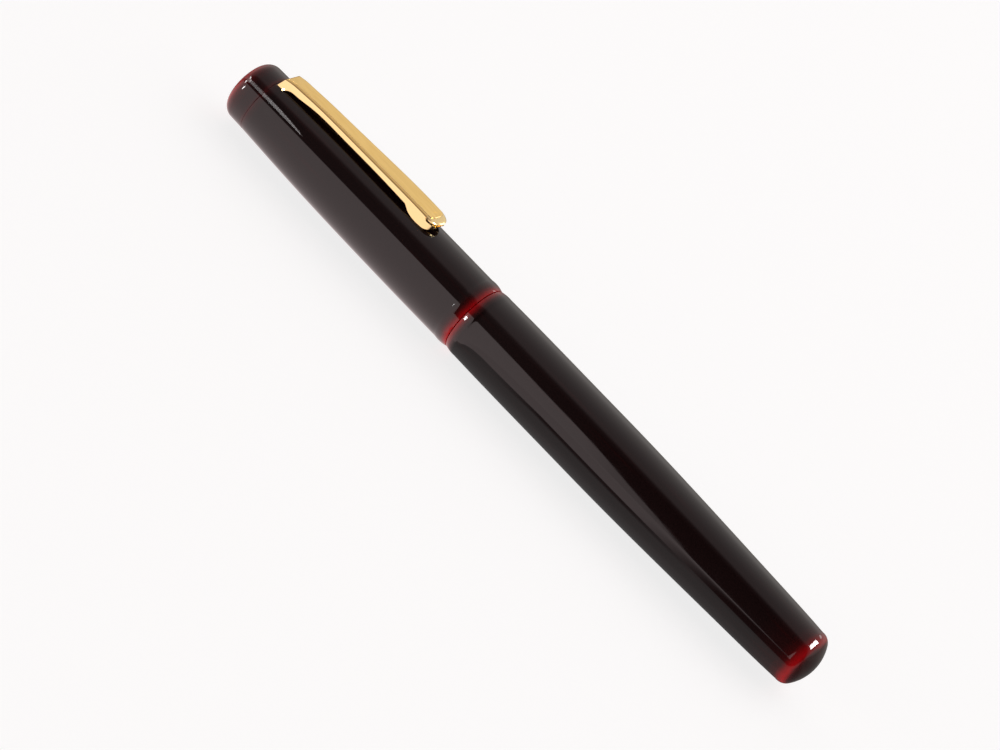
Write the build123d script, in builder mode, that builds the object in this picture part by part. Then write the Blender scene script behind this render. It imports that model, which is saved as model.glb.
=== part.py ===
"""Capped fountain pen: lacquered cap and barrel, sprung clip, nib unit and piston converter.

The pen lies on its side: the axis runs along X, the cap is at -X, the barrel's end at +X and the
clip on top at +Z.  The origin is midway along the pen, on the surface that the barrel rests on.
Every length is in millimetres.  In the outlines the first figure is X and the second is the
distance from the pen's axis.
"""

import os
from math import asin, cos, radians, sin

from build123d import *

os.makedirs("parts", exist_ok=True)

# ---------------------------------------------------------------- driving dimensions

LENGTH = 154.0
CAP_LENGTH = 63.6
CROWN_LENGTH = 6.3
MAX_R = 7.36
SEAM_GAP = 0.08
RUNNING_GAP = 0.05

CAP_TOP_X = -LENGTH / 2
BARREL_END_X = LENGTH / 2
CROWN_SEAM_X = CAP_TOP_X + CROWN_LENGTH
CAP_LIP_X = CAP_TOP_X + CAP_LENGTH
AXIS_Z = MAX_R

# crown
CROWN_R = 6.43
CROWN_EDGE_X = CAP_TOP_X + 2.5
CROWN_DOME_RISE = 1.05
CROWN_DOME_X = CAP_TOP_X + CROWN_DOME_RISE
CROWN_DOME_R = 5.1

# head land: the clip's side of the head steps down a little, and the step dies out down the cap
LAND_HALF_ANGLE = 56.0
LAND_STEP = 0.32
LAND_END_X = CAP_TOP_X + 14.5
LAND_END_R = 6.78

# cap shell
CAP_MID_X, CAP_MID_R = CAP_TOP_X + 20.0, 6.95
CAP_WAIST_X, CAP_WAIST_R = CAP_TOP_X + 33.0, 7.22
CAP_LIP_ROUND = 2.8
CAP_LIP_EDGE_R = 6.85
CAP_BORE_R = 5.4
CAP_WIDE_BORE_R = 5.95
CAP_WIDE_BORE_X = CAP_TOP_X + 36.5
WEB_X = CAP_TOP_X + 8.0
ANCHOR_SEAT_X = CROWN_SEAM_X + 0.65
ANCHOR_R = 5.2

# cap thread
CAP_PITCH = 1.0
CAP_THREAD_DEPTH = 0.3
SLEEVE_X = CAP_LIP_X - 8.1
SLEEVE_END_X = CAP_LIP_X - 0.5
SLEEVE_OUTER_R = 6.6
TENON_CREST_R = 6.0
TENON_NOSE_R = 5.5
TENON_X = CAP_LIP_X - 7.9

# clip: X of each feature, and heights above the pen's axis
CLIP_ROOT_X = CROWN_SEAM_X + 0.1
CLIP_MID_X = CAP_TOP_X + 24.0
CLIP_CHEEK_X = CAP_TOP_X + 41.0
CLIP_TIP_X = CAP_TOP_X + 47.9
CLIP_ROOT_TOP = 8.55
CLIP_MID_TOP = 9.17
CLIP_CHEEK_TOP = 9.53
CLIP_TIP_TOP = 9.44
CLIP_CORNER = 0.7
CLIP_LIP_LENGTH = 1.1
CLIP_LIP_HEIGHT = 8.95
CLIP_FOOT_START_X = CLIP_TIP_X - 5.6
CLIP_FOOT_END_X = CLIP_TIP_X - 3.1
CLIP_FOOT_HEIGHT = 6.85
CLIP_EDGE_TIP = (CLIP_CHEEK_X - 0.3, 8.08)
CLIP_EDGE_MID = (CLIP_MID_X + 3.0, 8.04)
CLIP_EDGE_ROOT = (CLIP_ROOT_X + 8.1, 7.5)
CLIP_EDGE_FLARE = (CLIP_ROOT_X + 4.6, 7.02)
CLIP_EDGE_HEEL = (CLIP_ROOT_X + 1.9, 6.42)
CLIP_HEEL_THICK = 1.5
CLIP_WALL = 0.45
CLIP_BACK_THICK = 0.8
CLIP_ROOT_BOTTOM = 5.35
CLIP_ROOT_HALF = 2.4
CLIP_NECK_X = CLIP_ROOT_X + 10.6
CLIP_NECK_HALF = 2.3
CLIP_TIP_HALF = 2.8
CLIP_TIP_BOW = 2.2
CLIP_SLOT_HALF = 2.85
CLIP_SLOT_LENGTH = 1.9
PANEL_THICK = 0.35
PANEL_HALF = CLIP_NECK_HALF - 0.35
PANEL_X = CLIP_ROOT_X + 0.7
PANEL_END_X = CLIP_TIP_X - 1.6

# inner cap and its spring
INNER_CAP_R = 5.3
INNER_CAP_BORE_R = 4.3
INNER_CAP_TOP_X = CAP_TOP_X + 10.6
INNER_CAP_END_WALL = 0.8
SPRING_WIRE_R = 0.2
SPRING_COIL_R = 4.3
SPRING_TURNS = 3
SCREW_R = 1.5
SCREW_HEAD_R = 2.5
SCREW_HEAD_THICK = 1.0
SCREW_DEPTH = 4.0
SCREW_SLOT = 0.6
WASHER_THICK = 0.4

# nib unit
GRIP_X = CAP_TOP_X + 36.2
GRIP_NOSE = 0.8
GRIP_NOSE_R = 4.85
GRIP_SPIGOT_R = 4.0
GRIP_WAIST_X, GRIP_WAIST_R = GRIP_X + 6.0, 4.6
GRIP_END_X = CAP_TOP_X + 54.5
GRIP_END_R = 5.45
SECTION_RING_R = 5.62
INNER_CAP_MOUTH_X = GRIP_X + GRIP_NOSE - RUNNING_GAP
NIB_TIP_X = CAP_TOP_X + 15.8
NIB_R = 2.95
NIB_THICK = 0.35
NIB_TIP_R = 0.62
NIB_TIP_HALF = 0.45
NIB_MID_X, NIB_MID_R, NIB_MID_HALF = NIB_TIP_X + 8.0, 2.0, 1.65
NIB_SHOULDER_X = NIB_TIP_X + 15.5
BREATHER_X, BREATHER_R = NIB_TIP_X + 11.5, 0.55
SLIT_WIDTH = 0.08
NIB_END_X = GRIP_X + 8.0
FEED_X = NIB_TIP_X + 3.6
FEED_R = NIB_R - NIB_THICK - 0.05
FEED_TIP_R = 0.7
FEED_BACK = 1.1
FIN_COUNT = 8
FIN_PITCH = 0.9
HOUSING_R = 3.6
HOUSING_WALL = 0.55
HOUSING_END_X = GRIP_X + 15.3
NIPPLE_R = 1.7
NIPPLE_LENGTH = 4.7
COLLAR_SEAT_R = 4.4
COLLAR_BORE_R = 3.8
COLLAR_THREAD_R = 4.5
COLLAR_END_X = CAP_LIP_X + 3.4

# barrel
BARREL_MOUTH_R = 6.85
BARREL_ROUND = 2.2
GRIP_ZONE = (-1.0, 13.0)
BARREL_MID_X, BARREL_MID_R = BARREL_END_X / 2, 6.98
BARREL_TAPER_X, BARREL_TAPER_R = BARREL_END_X - 16.6, 6.36
BARREL_EDGE_X = BARREL_END_X - 4.0
BARREL_EDGE_R = 5.9
BUSH_OUTER_R = 5.1
BUSH_X = TENON_X + 1.4
BUSH_END_X = TENON_X + 11.8
BUSH_PITCH = 0.8
BARREL_BORE_R = 4.7
BARREL_BORE_TAPER_X = 46.0
BARREL_BORE_END_X, BARREL_BORE_END_R = 64.0, 3.4

# converter
TUBE_R = 3.6
TUBE_BORE_R = 3.1
TUBE_X = HOUSING_END_X + 0.3
TUBE_END_X = 20.0
SOCKET_LENGTH = 4.9
CONVERTER_COLLAR_R = 4.0
CONVERTER_COLLAR_X = 16.0
KNOB_X = 30.0
KNOB_END_X = 42.0
KNOB_R = 3.5
CARRIER_R = 2.0
CARRIER_FLAT = 1.7
CARRIER_BORE_R = 1.25
CARRIER_X = -14.5
CARRIER_END_X = 9.5
SPINDLE_R = 1.2
SPINDLE_X = 6.6
SEAL_LENGTH = 4.0
SEAL_STEM_R = 1.0
GUIDE_PLUG = 2.0
GUIDE_FLANGE = 2.0
FLUTE_COUNT = 16
FLUTE_R = 0.4

# ---------------------------------------------------------------- shared planes and helpers

PEN_AXIS = Axis((0, 0, AXIS_Z), (1, 0, 0))
PROFILE = Plane(origin=(0, 0, AXIS_Z), x_dir=(1, 0, 0), z_dir=(0, -1, 0))
PLAN = Plane(origin=(0, 0, AXIS_Z), x_dir=(1, 0, 0), z_dir=(0, 0, 1))


def section_plane(x):
    """A plane across the pen at X, with its own x along +Y and its own y along +Z."""
    return Plane(origin=(x, 0, AXIS_Z), x_dir=(0, 1, 0), z_dir=(1, 0, 0))


def dome_arc(rim, apex_x):
    """Half of a round dome's outline, from a point on its rim to its apex on the pen's axis."""
    rise = rim[0] - apex_x
    sphere_r = (rim[1] ** 2 + rise**2) / (2 * abs(rise))
    half_angle = asin(rim[1] / sphere_r) / 2
    middle_x = apex_x + (1 if rise > 0 else -1) * sphere_r * (1 - cos(half_angle))
    ThreePointArc(rim, (middle_x, sphere_r * sin(half_angle)), (apex_x, 0))


def spin(profile_points):
    """Revolves a closed polygon of (X, radius) points about the pen's axis."""
    with BuildSketch(PROFILE) as profile:
        with BuildLine():
            Polyline(*profile_points, close=True)
        make_face()
    revolve(profile.sketch, axis=PEN_AXIS)


def cut_rings(first_x, count, pitch, crest_r, depth):
    """Cuts a row of V grooves; a negative depth cuts them into the wall of a bore."""
    half = 0.36 * pitch
    with BuildSketch(PROFILE) as grooves:
        for turn in range(count):
            x = first_x + turn * pitch
            with BuildLine():
                Polyline((x - half, crest_r), (x, crest_r - depth), (x + half, crest_r), close=True)
            make_face()
    revolve(grooves.sketch, axis=PEN_AXIS, mode=Mode.SUBTRACT)


def cut_head_land():
    """Steps the clip's side of the head down, deepest at the top and fading out along the cap."""
    angle = radians(LAND_HALF_ANGLE)
    start_plane = Plane(origin=(0, 0, AXIS_Z), x_dir=(1, 0, 0), z_dir=(0, -cos(angle), sin(angle)))
    with BuildSketch(start_plane) as wedge:
        with BuildLine():
            Polyline(
                (CAP_TOP_X - 1, CROWN_R - LAND_STEP - 0.08),
                (LAND_END_X, LAND_END_R),
                (LAND_END_X, CAP_MID_R + 0.8),
                (CAP_TOP_X - 1, CAP_MID_R + 0.8),
                close=True,
            )
        make_face()
    revolve(wedge.sketch, axis=PEN_AXIS, revolution_arc=2 * LAND_HALF_ANGLE, mode=Mode.SUBTRACT)


def clip_back(start_x, end_x, drop):
    """The outline of the clip's arched back between two X values, lowered by drop."""
    cheek = (CLIP_CHEEK_X, CLIP_CHEEK_TOP - drop)
    ThreePointArc((start_x, CLIP_ROOT_TOP - drop), (CLIP_MID_X, CLIP_MID_TOP - drop), cheek)
    ThreePointArc(cheek, (CLIP_CHEEK_X + 3.0, CLIP_CHEEK_TOP - 0.01 - drop), (end_x, CLIP_TIP_TOP - drop))


# ---------------------------------------------------------------- cap shell

with BuildPart() as cap_tube:
    with BuildSketch(PROFILE):
        with BuildLine():
            Spline(
                (CROWN_SEAM_X, CROWN_R),
                (CAP_MID_X, CAP_MID_R),
                (CAP_WAIST_X, CAP_WAIST_R),
                (CAP_LIP_X - 14.0, MAX_R - 0.045),
                (CAP_LIP_X - CAP_LIP_ROUND, MAX_R - 0.04),
                tangents=[(1, 0.043), (1, -0.008)],
            )
            ThreePointArc(
                (CAP_LIP_X - CAP_LIP_ROUND, MAX_R - 0.04),
                (CAP_LIP_X - 0.9, MAX_R - 0.15),
                (CAP_LIP_X, CAP_LIP_EDGE_R),
            )
            Polyline(
                (CAP_LIP_X, CAP_LIP_EDGE_R),
                (CAP_LIP_X, SLEEVE_OUTER_R),
                (SLEEVE_X, SLEEVE_OUTER_R),
                (SLEEVE_X, CAP_WIDE_BORE_R),
                (CAP_WIDE_BORE_X, CAP_WIDE_BORE_R),
                (CAP_WIDE_BORE_X, CAP_BORE_R),
                (WEB_X, CAP_BORE_R),
                (WEB_X, SCREW_R + 0.15),
                (ANCHOR_SEAT_X, SCREW_R + 0.15),
                (ANCHOR_SEAT_X, ANCHOR_R + RUNNING_GAP),
                (CROWN_SEAM_X, ANCHOR_R + RUNNING_GAP),
                (CROWN_SEAM_X, CROWN_R),
            )
        make_face()
    revolve(axis=PEN_AXIS)
    cut_head_land()
    # slot in the rim that the clip's root drops into
    with BuildSketch(section_plane(CROWN_SEAM_X)):
        with Locations((0, CLIP_ROOT_BOTTOM + 1.95)):
            Rectangle(2 * CLIP_SLOT_HALF, 4.0)
    extrude(amount=CLIP_SLOT_LENGTH, mode=Mode.SUBTRACT)
cap_tube.part.label = "cap_tube"
export_step(cap_tube.part, "parts/cap_tube.step")

with BuildPart() as cap_crown:
    with BuildSketch(PROFILE):
        with BuildLine():
            Polyline(
                (CAP_TOP_X, 0),
                (CROWN_SEAM_X, 0),
                (CROWN_SEAM_X, CROWN_R),
                (CROWN_EDGE_X, CROWN_R - 0.08),
            )
            ThreePointArc(
                (CROWN_EDGE_X, CROWN_R - 0.08),
                (CROWN_DOME_X + 0.35, CROWN_R - 0.45),
                (CROWN_DOME_X, CROWN_DOME_R),
            )
            dome_arc((CROWN_DOME_X, CROWN_DOME_R), CAP_TOP_X)
        make_face()
    revolve(axis=PEN_AXIS)
    cut_head_land()
    # blind hole for the crown screw
    with BuildSketch(section_plane(CROWN_SEAM_X)):
        Circle(SCREW_R + 0.02)
    extrude(amount=-SCREW_DEPTH - 0.3, mode=Mode.SUBTRACT)
cap_crown.part.label = "cap_crown"
export_step(cap_crown.part, "parts/cap_crown.step")

with BuildPart() as cap_thread_sleeve:
    spin(
        [
            (SLEEVE_X, TENON_CREST_R + RUNNING_GAP),
            (SLEEVE_END_X, TENON_CREST_R + RUNNING_GAP),
            (SLEEVE_END_X, SLEEVE_OUTER_R),
            (SLEEVE_X, SLEEVE_OUTER_R),
        ]
    )
    cut_rings(SLEEVE_X + 0.8, 3, CAP_PITCH, TENON_CREST_R + RUNNING_GAP, -CAP_THREAD_DEPTH)
cap_thread_sleeve.part.label = "cap_thread_sleeve"
export_step(cap_thread_sleeve.part, "parts/cap_thread_sleeve.step")

# ---------------------------------------------------------------- clip

with BuildPart() as clip_anchor:
    with BuildSketch(section_plane(CROWN_SEAM_X)):
        Circle(ANCHOR_R)
        Circle(SCREW_R + 0.15, mode=Mode.SUBTRACT)
    extrude(amount=ANCHOR_SEAT_X - CROWN_SEAM_X)
clip_anchor.part.label = "clip_anchor"
export_step(clip_anchor.part, "parts/clip_anchor.step")

with BuildPart() as clip:
    # side view: root, arched back, upturned lip, foot on the cap and the bowed lower edge
    with BuildSketch(PROFILE):
        with BuildLine():
            corner_top = CLIP_ROOT_TOP - CLIP_CORNER
            Line((CLIP_ROOT_X, CLIP_ROOT_BOTTOM), (CLIP_ROOT_X, corner_top))
            ThreePointArc(
                (CLIP_ROOT_X, corner_top),
                (CLIP_ROOT_X + 0.3 * CLIP_CORNER, CLIP_ROOT_TOP - 0.3 * CLIP_CORNER),
                (CLIP_ROOT_X + CLIP_CORNER, CLIP_ROOT_TOP),
            )
            clip_back(CLIP_ROOT_X + CLIP_CORNER, CLIP_TIP_X - CLIP_LIP_LENGTH, 0)
            ThreePointArc(
                (CLIP_TIP_X - CLIP_LIP_LENGTH, CLIP_TIP_TOP),
                (CLIP_TIP_X - 0.25, CLIP_TIP_TOP - 0.14),
                (CLIP_TIP_X, CLIP_LIP_HEIGHT),
            )
            ThreePointArc(
                (CLIP_TIP_X, CLIP_LIP_HEIGHT),
                (CLIP_TIP_X - 1.25, CLIP_LIP_HEIGHT - 1.35),
                (CLIP_FOOT_END_X, CLIP_FOOT_HEIGHT),
            )
            Line((CLIP_FOOT_END_X, CLIP_FOOT_HEIGHT), (CLIP_FOOT_START_X, CLIP_FOOT_HEIGHT))
            Spline(
                (CLIP_FOOT_START_X, CLIP_FOOT_HEIGHT),
                CLIP_EDGE_TIP,
                tangents=[(-1, 0.1), (-1, 0.05)],
            )
            ThreePointArc(CLIP_EDGE_TIP, CLIP_EDGE_MID, CLIP_EDGE_ROOT)
            Spline(
                CLIP_EDGE_ROOT,
                CLIP_EDGE_FLARE,
                CLIP_EDGE_HEEL,
                tangents=[(-1, -0.09), (-1, -0.6)],
            )
            Polyline(
                CLIP_EDGE_HEEL,
                (CLIP_ROOT_X + CLIP_HEEL_THICK, CLIP_EDGE_HEEL[1] - 0.42),
                (CLIP_ROOT_X + CLIP_HEEL_THICK, CLIP_ROOT_BOTTOM),
                (CLIP_ROOT_X, CLIP_ROOT_BOTTOM),
            )
        make_face()
    extrude(amount=CLIP_TIP_HALF + 1, both=True)
    # plan view: widens a little towards the rounded tip
    with BuildSketch(PLAN):
        with BuildLine():
            bow_x = CLIP_TIP_X - CLIP_TIP_BOW
            Polyline(
                (bow_x, CLIP_TIP_HALF),
                (CLIP_CHEEK_X, CLIP_TIP_HALF),
                (CLIP_NECK_X, CLIP_NECK_HALF),
                (CLIP_ROOT_X, CLIP_ROOT_HALF),
                (CLIP_ROOT_X, -CLIP_ROOT_HALF),
                (CLIP_NECK_X, -CLIP_NECK_HALF),
                (CLIP_CHEEK_X, -CLIP_TIP_HALF),
                (bow_x, -CLIP_TIP_HALF),
            )
            ThreePointArc((bow_x, -CLIP_TIP_HALF), (CLIP_TIP_X, 0), (bow_x, CLIP_TIP_HALF))
        make_face()
    extrude(amount=2 * MAX_R, mode=Mode.INTERSECT)
    # the channel underneath
    with BuildSketch(PROFILE):
        with BuildLine():
            channel_x = CLIP_ROOT_X + CLIP_WALL
            channel_end = (CLIP_TIP_X - 2.2, CLIP_TIP_TOP - 0.84)
            channel_foot = CLIP_FOOT_END_X - 0.4
            Line((channel_x, CLIP_ROOT_BOTTOM - 1), (channel_x, CLIP_ROOT_TOP - 0.95))
            ThreePointArc(
                (channel_x, CLIP_ROOT_TOP - 0.95),
                (CLIP_MID_X, CLIP_MID_TOP - CLIP_BACK_THICK),
                (CLIP_CHEEK_X, CLIP_CHEEK_TOP - CLIP_BACK_THICK),
            )
            Line((CLIP_CHEEK_X, CLIP_CHEEK_TOP - CLIP_BACK_THICK), channel_end)
            Polyline(
                channel_end,
                (channel_foot, CLIP_FOOT_HEIGHT),
                (channel_foot, CLIP_ROOT_BOTTOM - 1),
                (channel_x, CLIP_ROOT_BOTTOM - 1),
            )
        make_face()
    extrude(amount=CLIP_NECK_HALF - CLIP_WALL, both=True, mode=Mode.SUBTRACT)
    # the seat of the panel, open upwards
    with BuildSketch(PROFILE):
        with BuildLine():
            seat_top = 2 * MAX_R
            clip_back(PANEL_X, PANEL_END_X, PANEL_THICK)
            Polyline(
                (PANEL_END_X, CLIP_TIP_TOP - PANEL_THICK),
                (PANEL_END_X, seat_top),
                (PANEL_X, seat_top),
                (PANEL_X, CLIP_ROOT_TOP - PANEL_THICK),
            )
        make_face()
    extrude(amount=PANEL_HALF, both=True, mode=Mode.SUBTRACT)
    # the cheeks' undersides follow the cap
    with BuildSketch(section_plane(CLIP_TIP_X - 9)):
        Circle(MAX_R + RUNNING_GAP)
    extrude(amount=10, mode=Mode.SUBTRACT)
clip.part.label = "clip"
export_step(clip.part, "parts/clip.step")

with BuildPart() as clip_panel:
    with BuildSketch(PROFILE):
        with BuildLine():
            clip_back(PANEL_X, PANEL_END_X, PANEL_THICK)
            Line((PANEL_END_X, CLIP_TIP_TOP - PANEL_THICK), (PANEL_END_X, CLIP_TIP_TOP))
            clip_back(PANEL_X, PANEL_END_X, 0)
            Line((PANEL_X, CLIP_ROOT_TOP), (PANEL_X, CLIP_ROOT_TOP - PANEL_THICK))
        make_face()
    extrude(amount=PANEL_HALF, both=True)
clip_panel.part.label = "clip_panel"
export_step(clip_panel.part, "parts/clip_panel.step")

with BuildPart() as crown_screw:
    with BuildSketch(section_plane(WEB_X)):
        Circle(SCREW_R)
    extrude(amount=-(WEB_X - CROWN_SEAM_X) - SCREW_DEPTH)
    with BuildSketch(section_plane(WEB_X)):
        Circle(SCREW_HEAD_R)
    extrude(amount=SCREW_HEAD_THICK)
    with BuildSketch(section_plane(WEB_X + SCREW_HEAD_THICK)):
        Rectangle(SCREW_SLOT, 3 * SCREW_HEAD_R)
    extrude(amount=-SCREW_HEAD_THICK / 2, mode=Mode.SUBTRACT)
crown_screw.part.label = "crown_screw"
export_step(crown_screw.part, "parts/crown_screw.step")

# ---------------------------------------------------------------- inner cap and its spring

with BuildPart() as spring_washer:
    with BuildSketch(section_plane(WEB_X + RUNNING_GAP)):
        Circle(CAP_BORE_R - 0.3)
        Circle(SCREW_HEAD_R + 0.4, mode=Mode.SUBTRACT)
    extrude(amount=WASHER_THICK)
spring_washer.part.label = "spring_washer"
export_step(spring_washer.part, "parts/spring_washer.step")

with BuildPart() as inner_cap_spring:
    coil_start = WEB_X + RUNNING_GAP + WASHER_THICK + SPRING_WIRE_R + 0.02
    coil_length = INNER_CAP_TOP_X - SPRING_WIRE_R - 0.04 - coil_start
    with BuildLine():
        coil = Helix(
            pitch=coil_length / SPRING_TURNS,
            height=coil_length,
            radius=SPRING_COIL_R,
            center=(coil_start, 0, AXIS_Z),
            direction=(1, 0, 0),
        )
    with BuildSketch(Plane(origin=coil @ 0, z_dir=coil % 0)):
        Circle(SPRING_WIRE_R)
    sweep(path=coil, is_frenet=True)
inner_cap_spring.part.label = "inner_cap_spring"
export_step(inner_cap_spring.part, "parts/inner_cap_spring.step")

with BuildPart() as inner_cap:
    spin(
        [
            (INNER_CAP_TOP_X, 0),
            (INNER_CAP_TOP_X, INNER_CAP_R - 0.4),
            (INNER_CAP_TOP_X + 0.4, INNER_CAP_R),
            (INNER_CAP_MOUTH_X, INNER_CAP_R),
            (INNER_CAP_MOUTH_X, INNER_CAP_BORE_R + 0.3),
            (INNER_CAP_MOUTH_X - 0.3, INNER_CAP_BORE_R),
            (INNER_CAP_TOP_X + INNER_CAP_END_WALL, INNER_CAP_BORE_R),
            (INNER_CAP_TOP_X + INNER_CAP_END_WALL, 0),
        ]
    )
inner_cap.part.label = "inner_cap"
export_step(inner_cap.part, "parts/inner_cap.step")

# ---------------------------------------------------------------- nib unit

with BuildPart() as grip_section:
    with BuildSketch(PROFILE):
        with BuildLine():
            Polyline(
                (GRIP_X, HOUSING_R),
                (GRIP_X, GRIP_SPIGOT_R),
                (GRIP_X + GRIP_NOSE, GRIP_SPIGOT_R),
                (GRIP_X + GRIP_NOSE, GRIP_NOSE_R),
            )
            Spline(
                (GRIP_X + GRIP_NOSE, GRIP_NOSE_R),
                (GRIP_X + 2 * GRIP_NOSE, GRIP_NOSE_R + 0.15),
                (GRIP_WAIST_X, GRIP_WAIST_R),
                (GRIP_END_X, GRIP_END_R),
                tangents=[(1, 0.6), (1, 0.1)],
            )
            Polyline(
                (GRIP_END_X, GRIP_END_R),
                (GRIP_END_X, COLLAR_SEAT_R),
                (HOUSING_END_X, COLLAR_SEAT_R),
                (HOUSING_END_X, HOUSING_R),
                (GRIP_X, HOUSING_R),
            )
        make_face()
    revolve(axis=PEN_AXIS)
grip_section.part.label = "grip_section"
export_step(grip_section.part, "parts/grip_section.step")

with BuildPart() as section_ring:
    spin(
        [
            (GRIP_END_X, COLLAR_THREAD_R),
            (TENON_X - RUNNING_GAP, COLLAR_THREAD_R),
            (TENON_X - RUNNING_GAP, SECTION_RING_R - 0.07),
            (TENON_X - 0.3, SECTION_RING_R),
            (GRIP_END_X + 0.3, SECTION_RING_R),
            (GRIP_END_X, SECTION_RING_R - 0.12),
        ]
    )
section_ring.part.label = "section_ring"
export_step(section_ring.part, "parts/section_ring.step")

with BuildPart() as thread_collar:
    spin(
        [
            (HOUSING_END_X + 0.5, COLLAR_BORE_R),
            (COLLAR_END_X, COLLAR_BORE_R),
            (COLLAR_END_X, COLLAR_THREAD_R - 0.3),
            (COLLAR_END_X - 0.3, COLLAR_THREAD_R),
            (GRIP_END_X, COLLAR_THREAD_R),
            (GRIP_END_X, COLLAR_SEAT_R),
            (HOUSING_END_X + 0.5, COLLAR_SEAT_R),
        ]
    )
    cut_rings(BUSH_X + 0.6, 12, BUSH_PITCH, COLLAR_THREAD_R, 0.25)
thread_collar.part.label = "thread_collar"
export_step(thread_collar.part, "parts/thread_collar.step")

with BuildPart() as feed_housing:
    bore = HOUSING_R - HOUSING_WALL
    spin(
        [
            (GRIP_X - 0.3, bore),
            (HOUSING_END_X - 1.5, bore),
            (HOUSING_END_X - 1.5, 0.5),
            (HOUSING_END_X + NIPPLE_LENGTH, 0.5),
            (HOUSING_END_X + NIPPLE_LENGTH, NIPPLE_R - 0.4),
            (HOUSING_END_X + NIPPLE_LENGTH - 1.2, NIPPLE_R),
            (HOUSING_END_X, NIPPLE_R),
            (HOUSING_END_X, HOUSING_R),
            (GRIP_X - 0.3, HOUSING_R),
        ]
    )
feed_housing.part.label = "feed_housing"
export_step(feed_housing.part, "parts/feed_housing.step")

with BuildPart() as nib:
    # a curved shell that narrows towards the point
    with BuildSketch(PROFILE):
        with BuildLine():
            Spline(
                (NIB_TIP_X, NIB_TIP_R),
                (NIB_MID_X, NIB_MID_R),
                (NIB_SHOULDER_X, NIB_R),
                tangents=[(1, 0.25), (1, 0.04)],
            )
            Polyline(
                (NIB_SHOULDER_X, NIB_R),
                (NIB_END_X, NIB_R),
                (NIB_END_X, NIB_R - NIB_THICK),
                (NIB_SHOULDER_X, NIB_R - NIB_THICK),
            )
            Spline(
                (NIB_SHOULDER_X, NIB_R - NIB_THICK),
                (NIB_MID_X, NIB_MID_R - NIB_THICK),
                (NIB_TIP_X, NIB_TIP_R - NIB_THICK),
                tangents=[(-1, -0.04), (-1, -0.25)],
            )
            Line((NIB_TIP_X, NIB_TIP_R - NIB_THICK), (NIB_TIP_X, NIB_TIP_R))
        make_face()
    revolve(axis=PEN_AXIS)
    # outline seen from above: straight tail, shoulders, tapered tines
    with BuildSketch(PLAN):
        with BuildLine():
            flank = NIB_R + 0.05
            for side in (-1, 1):
                Spline(
                    (NIB_TIP_X, side * NIB_TIP_HALF),
                    (NIB_MID_X, side * NIB_MID_HALF),
                    (NIB_SHOULDER_X - 1.0, side * flank),
                    tangents=[(1, side * 0.12), (0.7, side)],
                )
            Line((NIB_TIP_X, NIB_TIP_HALF), (NIB_TIP_X, -NIB_TIP_HALF))
            Polyline(
                (NIB_SHOULDER_X - 1.0, -flank),
                (NIB_END_X, -flank),
                (NIB_END_X, flank),
                (NIB_SHOULDER_X - 1.0, flank),
            )
        make_face()
    extrude(amount=NIB_R + 1, mode=Mode.INTERSECT)
    # breather hole and slit
    with BuildSketch(PLAN):
        with Locations((BREATHER_X, 0)):
            Circle(BREATHER_R)
        with Locations(((NIB_TIP_X + BREATHER_X) / 2 - 0.2, 0)):
            Rectangle(BREATHER_X - NIB_TIP_X + 0.4, SLIT_WIDTH)
    extrude(amount=NIB_R + 1, mode=Mode.SUBTRACT)
nib.part.label = "nib"
export_step(nib.part, "parts/nib.step")

with BuildPart() as nib_point:
    with BuildSketch(section_plane(NIB_TIP_X)):
        with Locations((0, 0.4)):
            RectangleRounded(0.9, 0.8, 0.3)
    extrude(amount=-0.7)
    fillet(nib_point.edges().group_by(Axis.X)[0], 0.3)
nib_point.part.label = "nib_point"
export_step(nib_point.part, "parts/nib_point.step")

with BuildPart() as feed:
    with BuildSketch(PROFILE):
        with BuildLine():
            Spline(
                (FEED_X, FEED_TIP_R),
                (FEED_X + 6, 1.75),
                (NIB_SHOULDER_X, FEED_R),
                tangents=[(1, 0.2), (1, 0.04)],
            )
            Polyline(
                (NIB_SHOULDER_X, FEED_R),
                (NIB_END_X, FEED_R),
                (NIB_END_X, 0),
                (FEED_X, 0),
                (FEED_X, FEED_TIP_R),
            )
        make_face()
    revolve(axis=PEN_AXIS)
    # flat back that leaves the arch of the nib clear
    with BuildSketch(PROFILE):
        with Locations((FEED_X + 4, FEED_BACK + 2)):
            Rectangle(14, 4)
    extrude(amount=2 * NIB_R, both=True, mode=Mode.SUBTRACT)
    # comb fins along the underside
    for fin in range(FIN_COUNT):
        with BuildSketch(PROFILE):
            with Locations((NIB_SHOULDER_X - 1.2 - fin * FIN_PITCH, -2.2)):
                Rectangle(FIN_PITCH / 2, 2.0)
        extrude(amount=2 * NIB_R, both=True, mode=Mode.SUBTRACT)
feed.part.label = "feed"
export_step(feed.part, "parts/feed.step")

# ---------------------------------------------------------------- barrel

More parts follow.
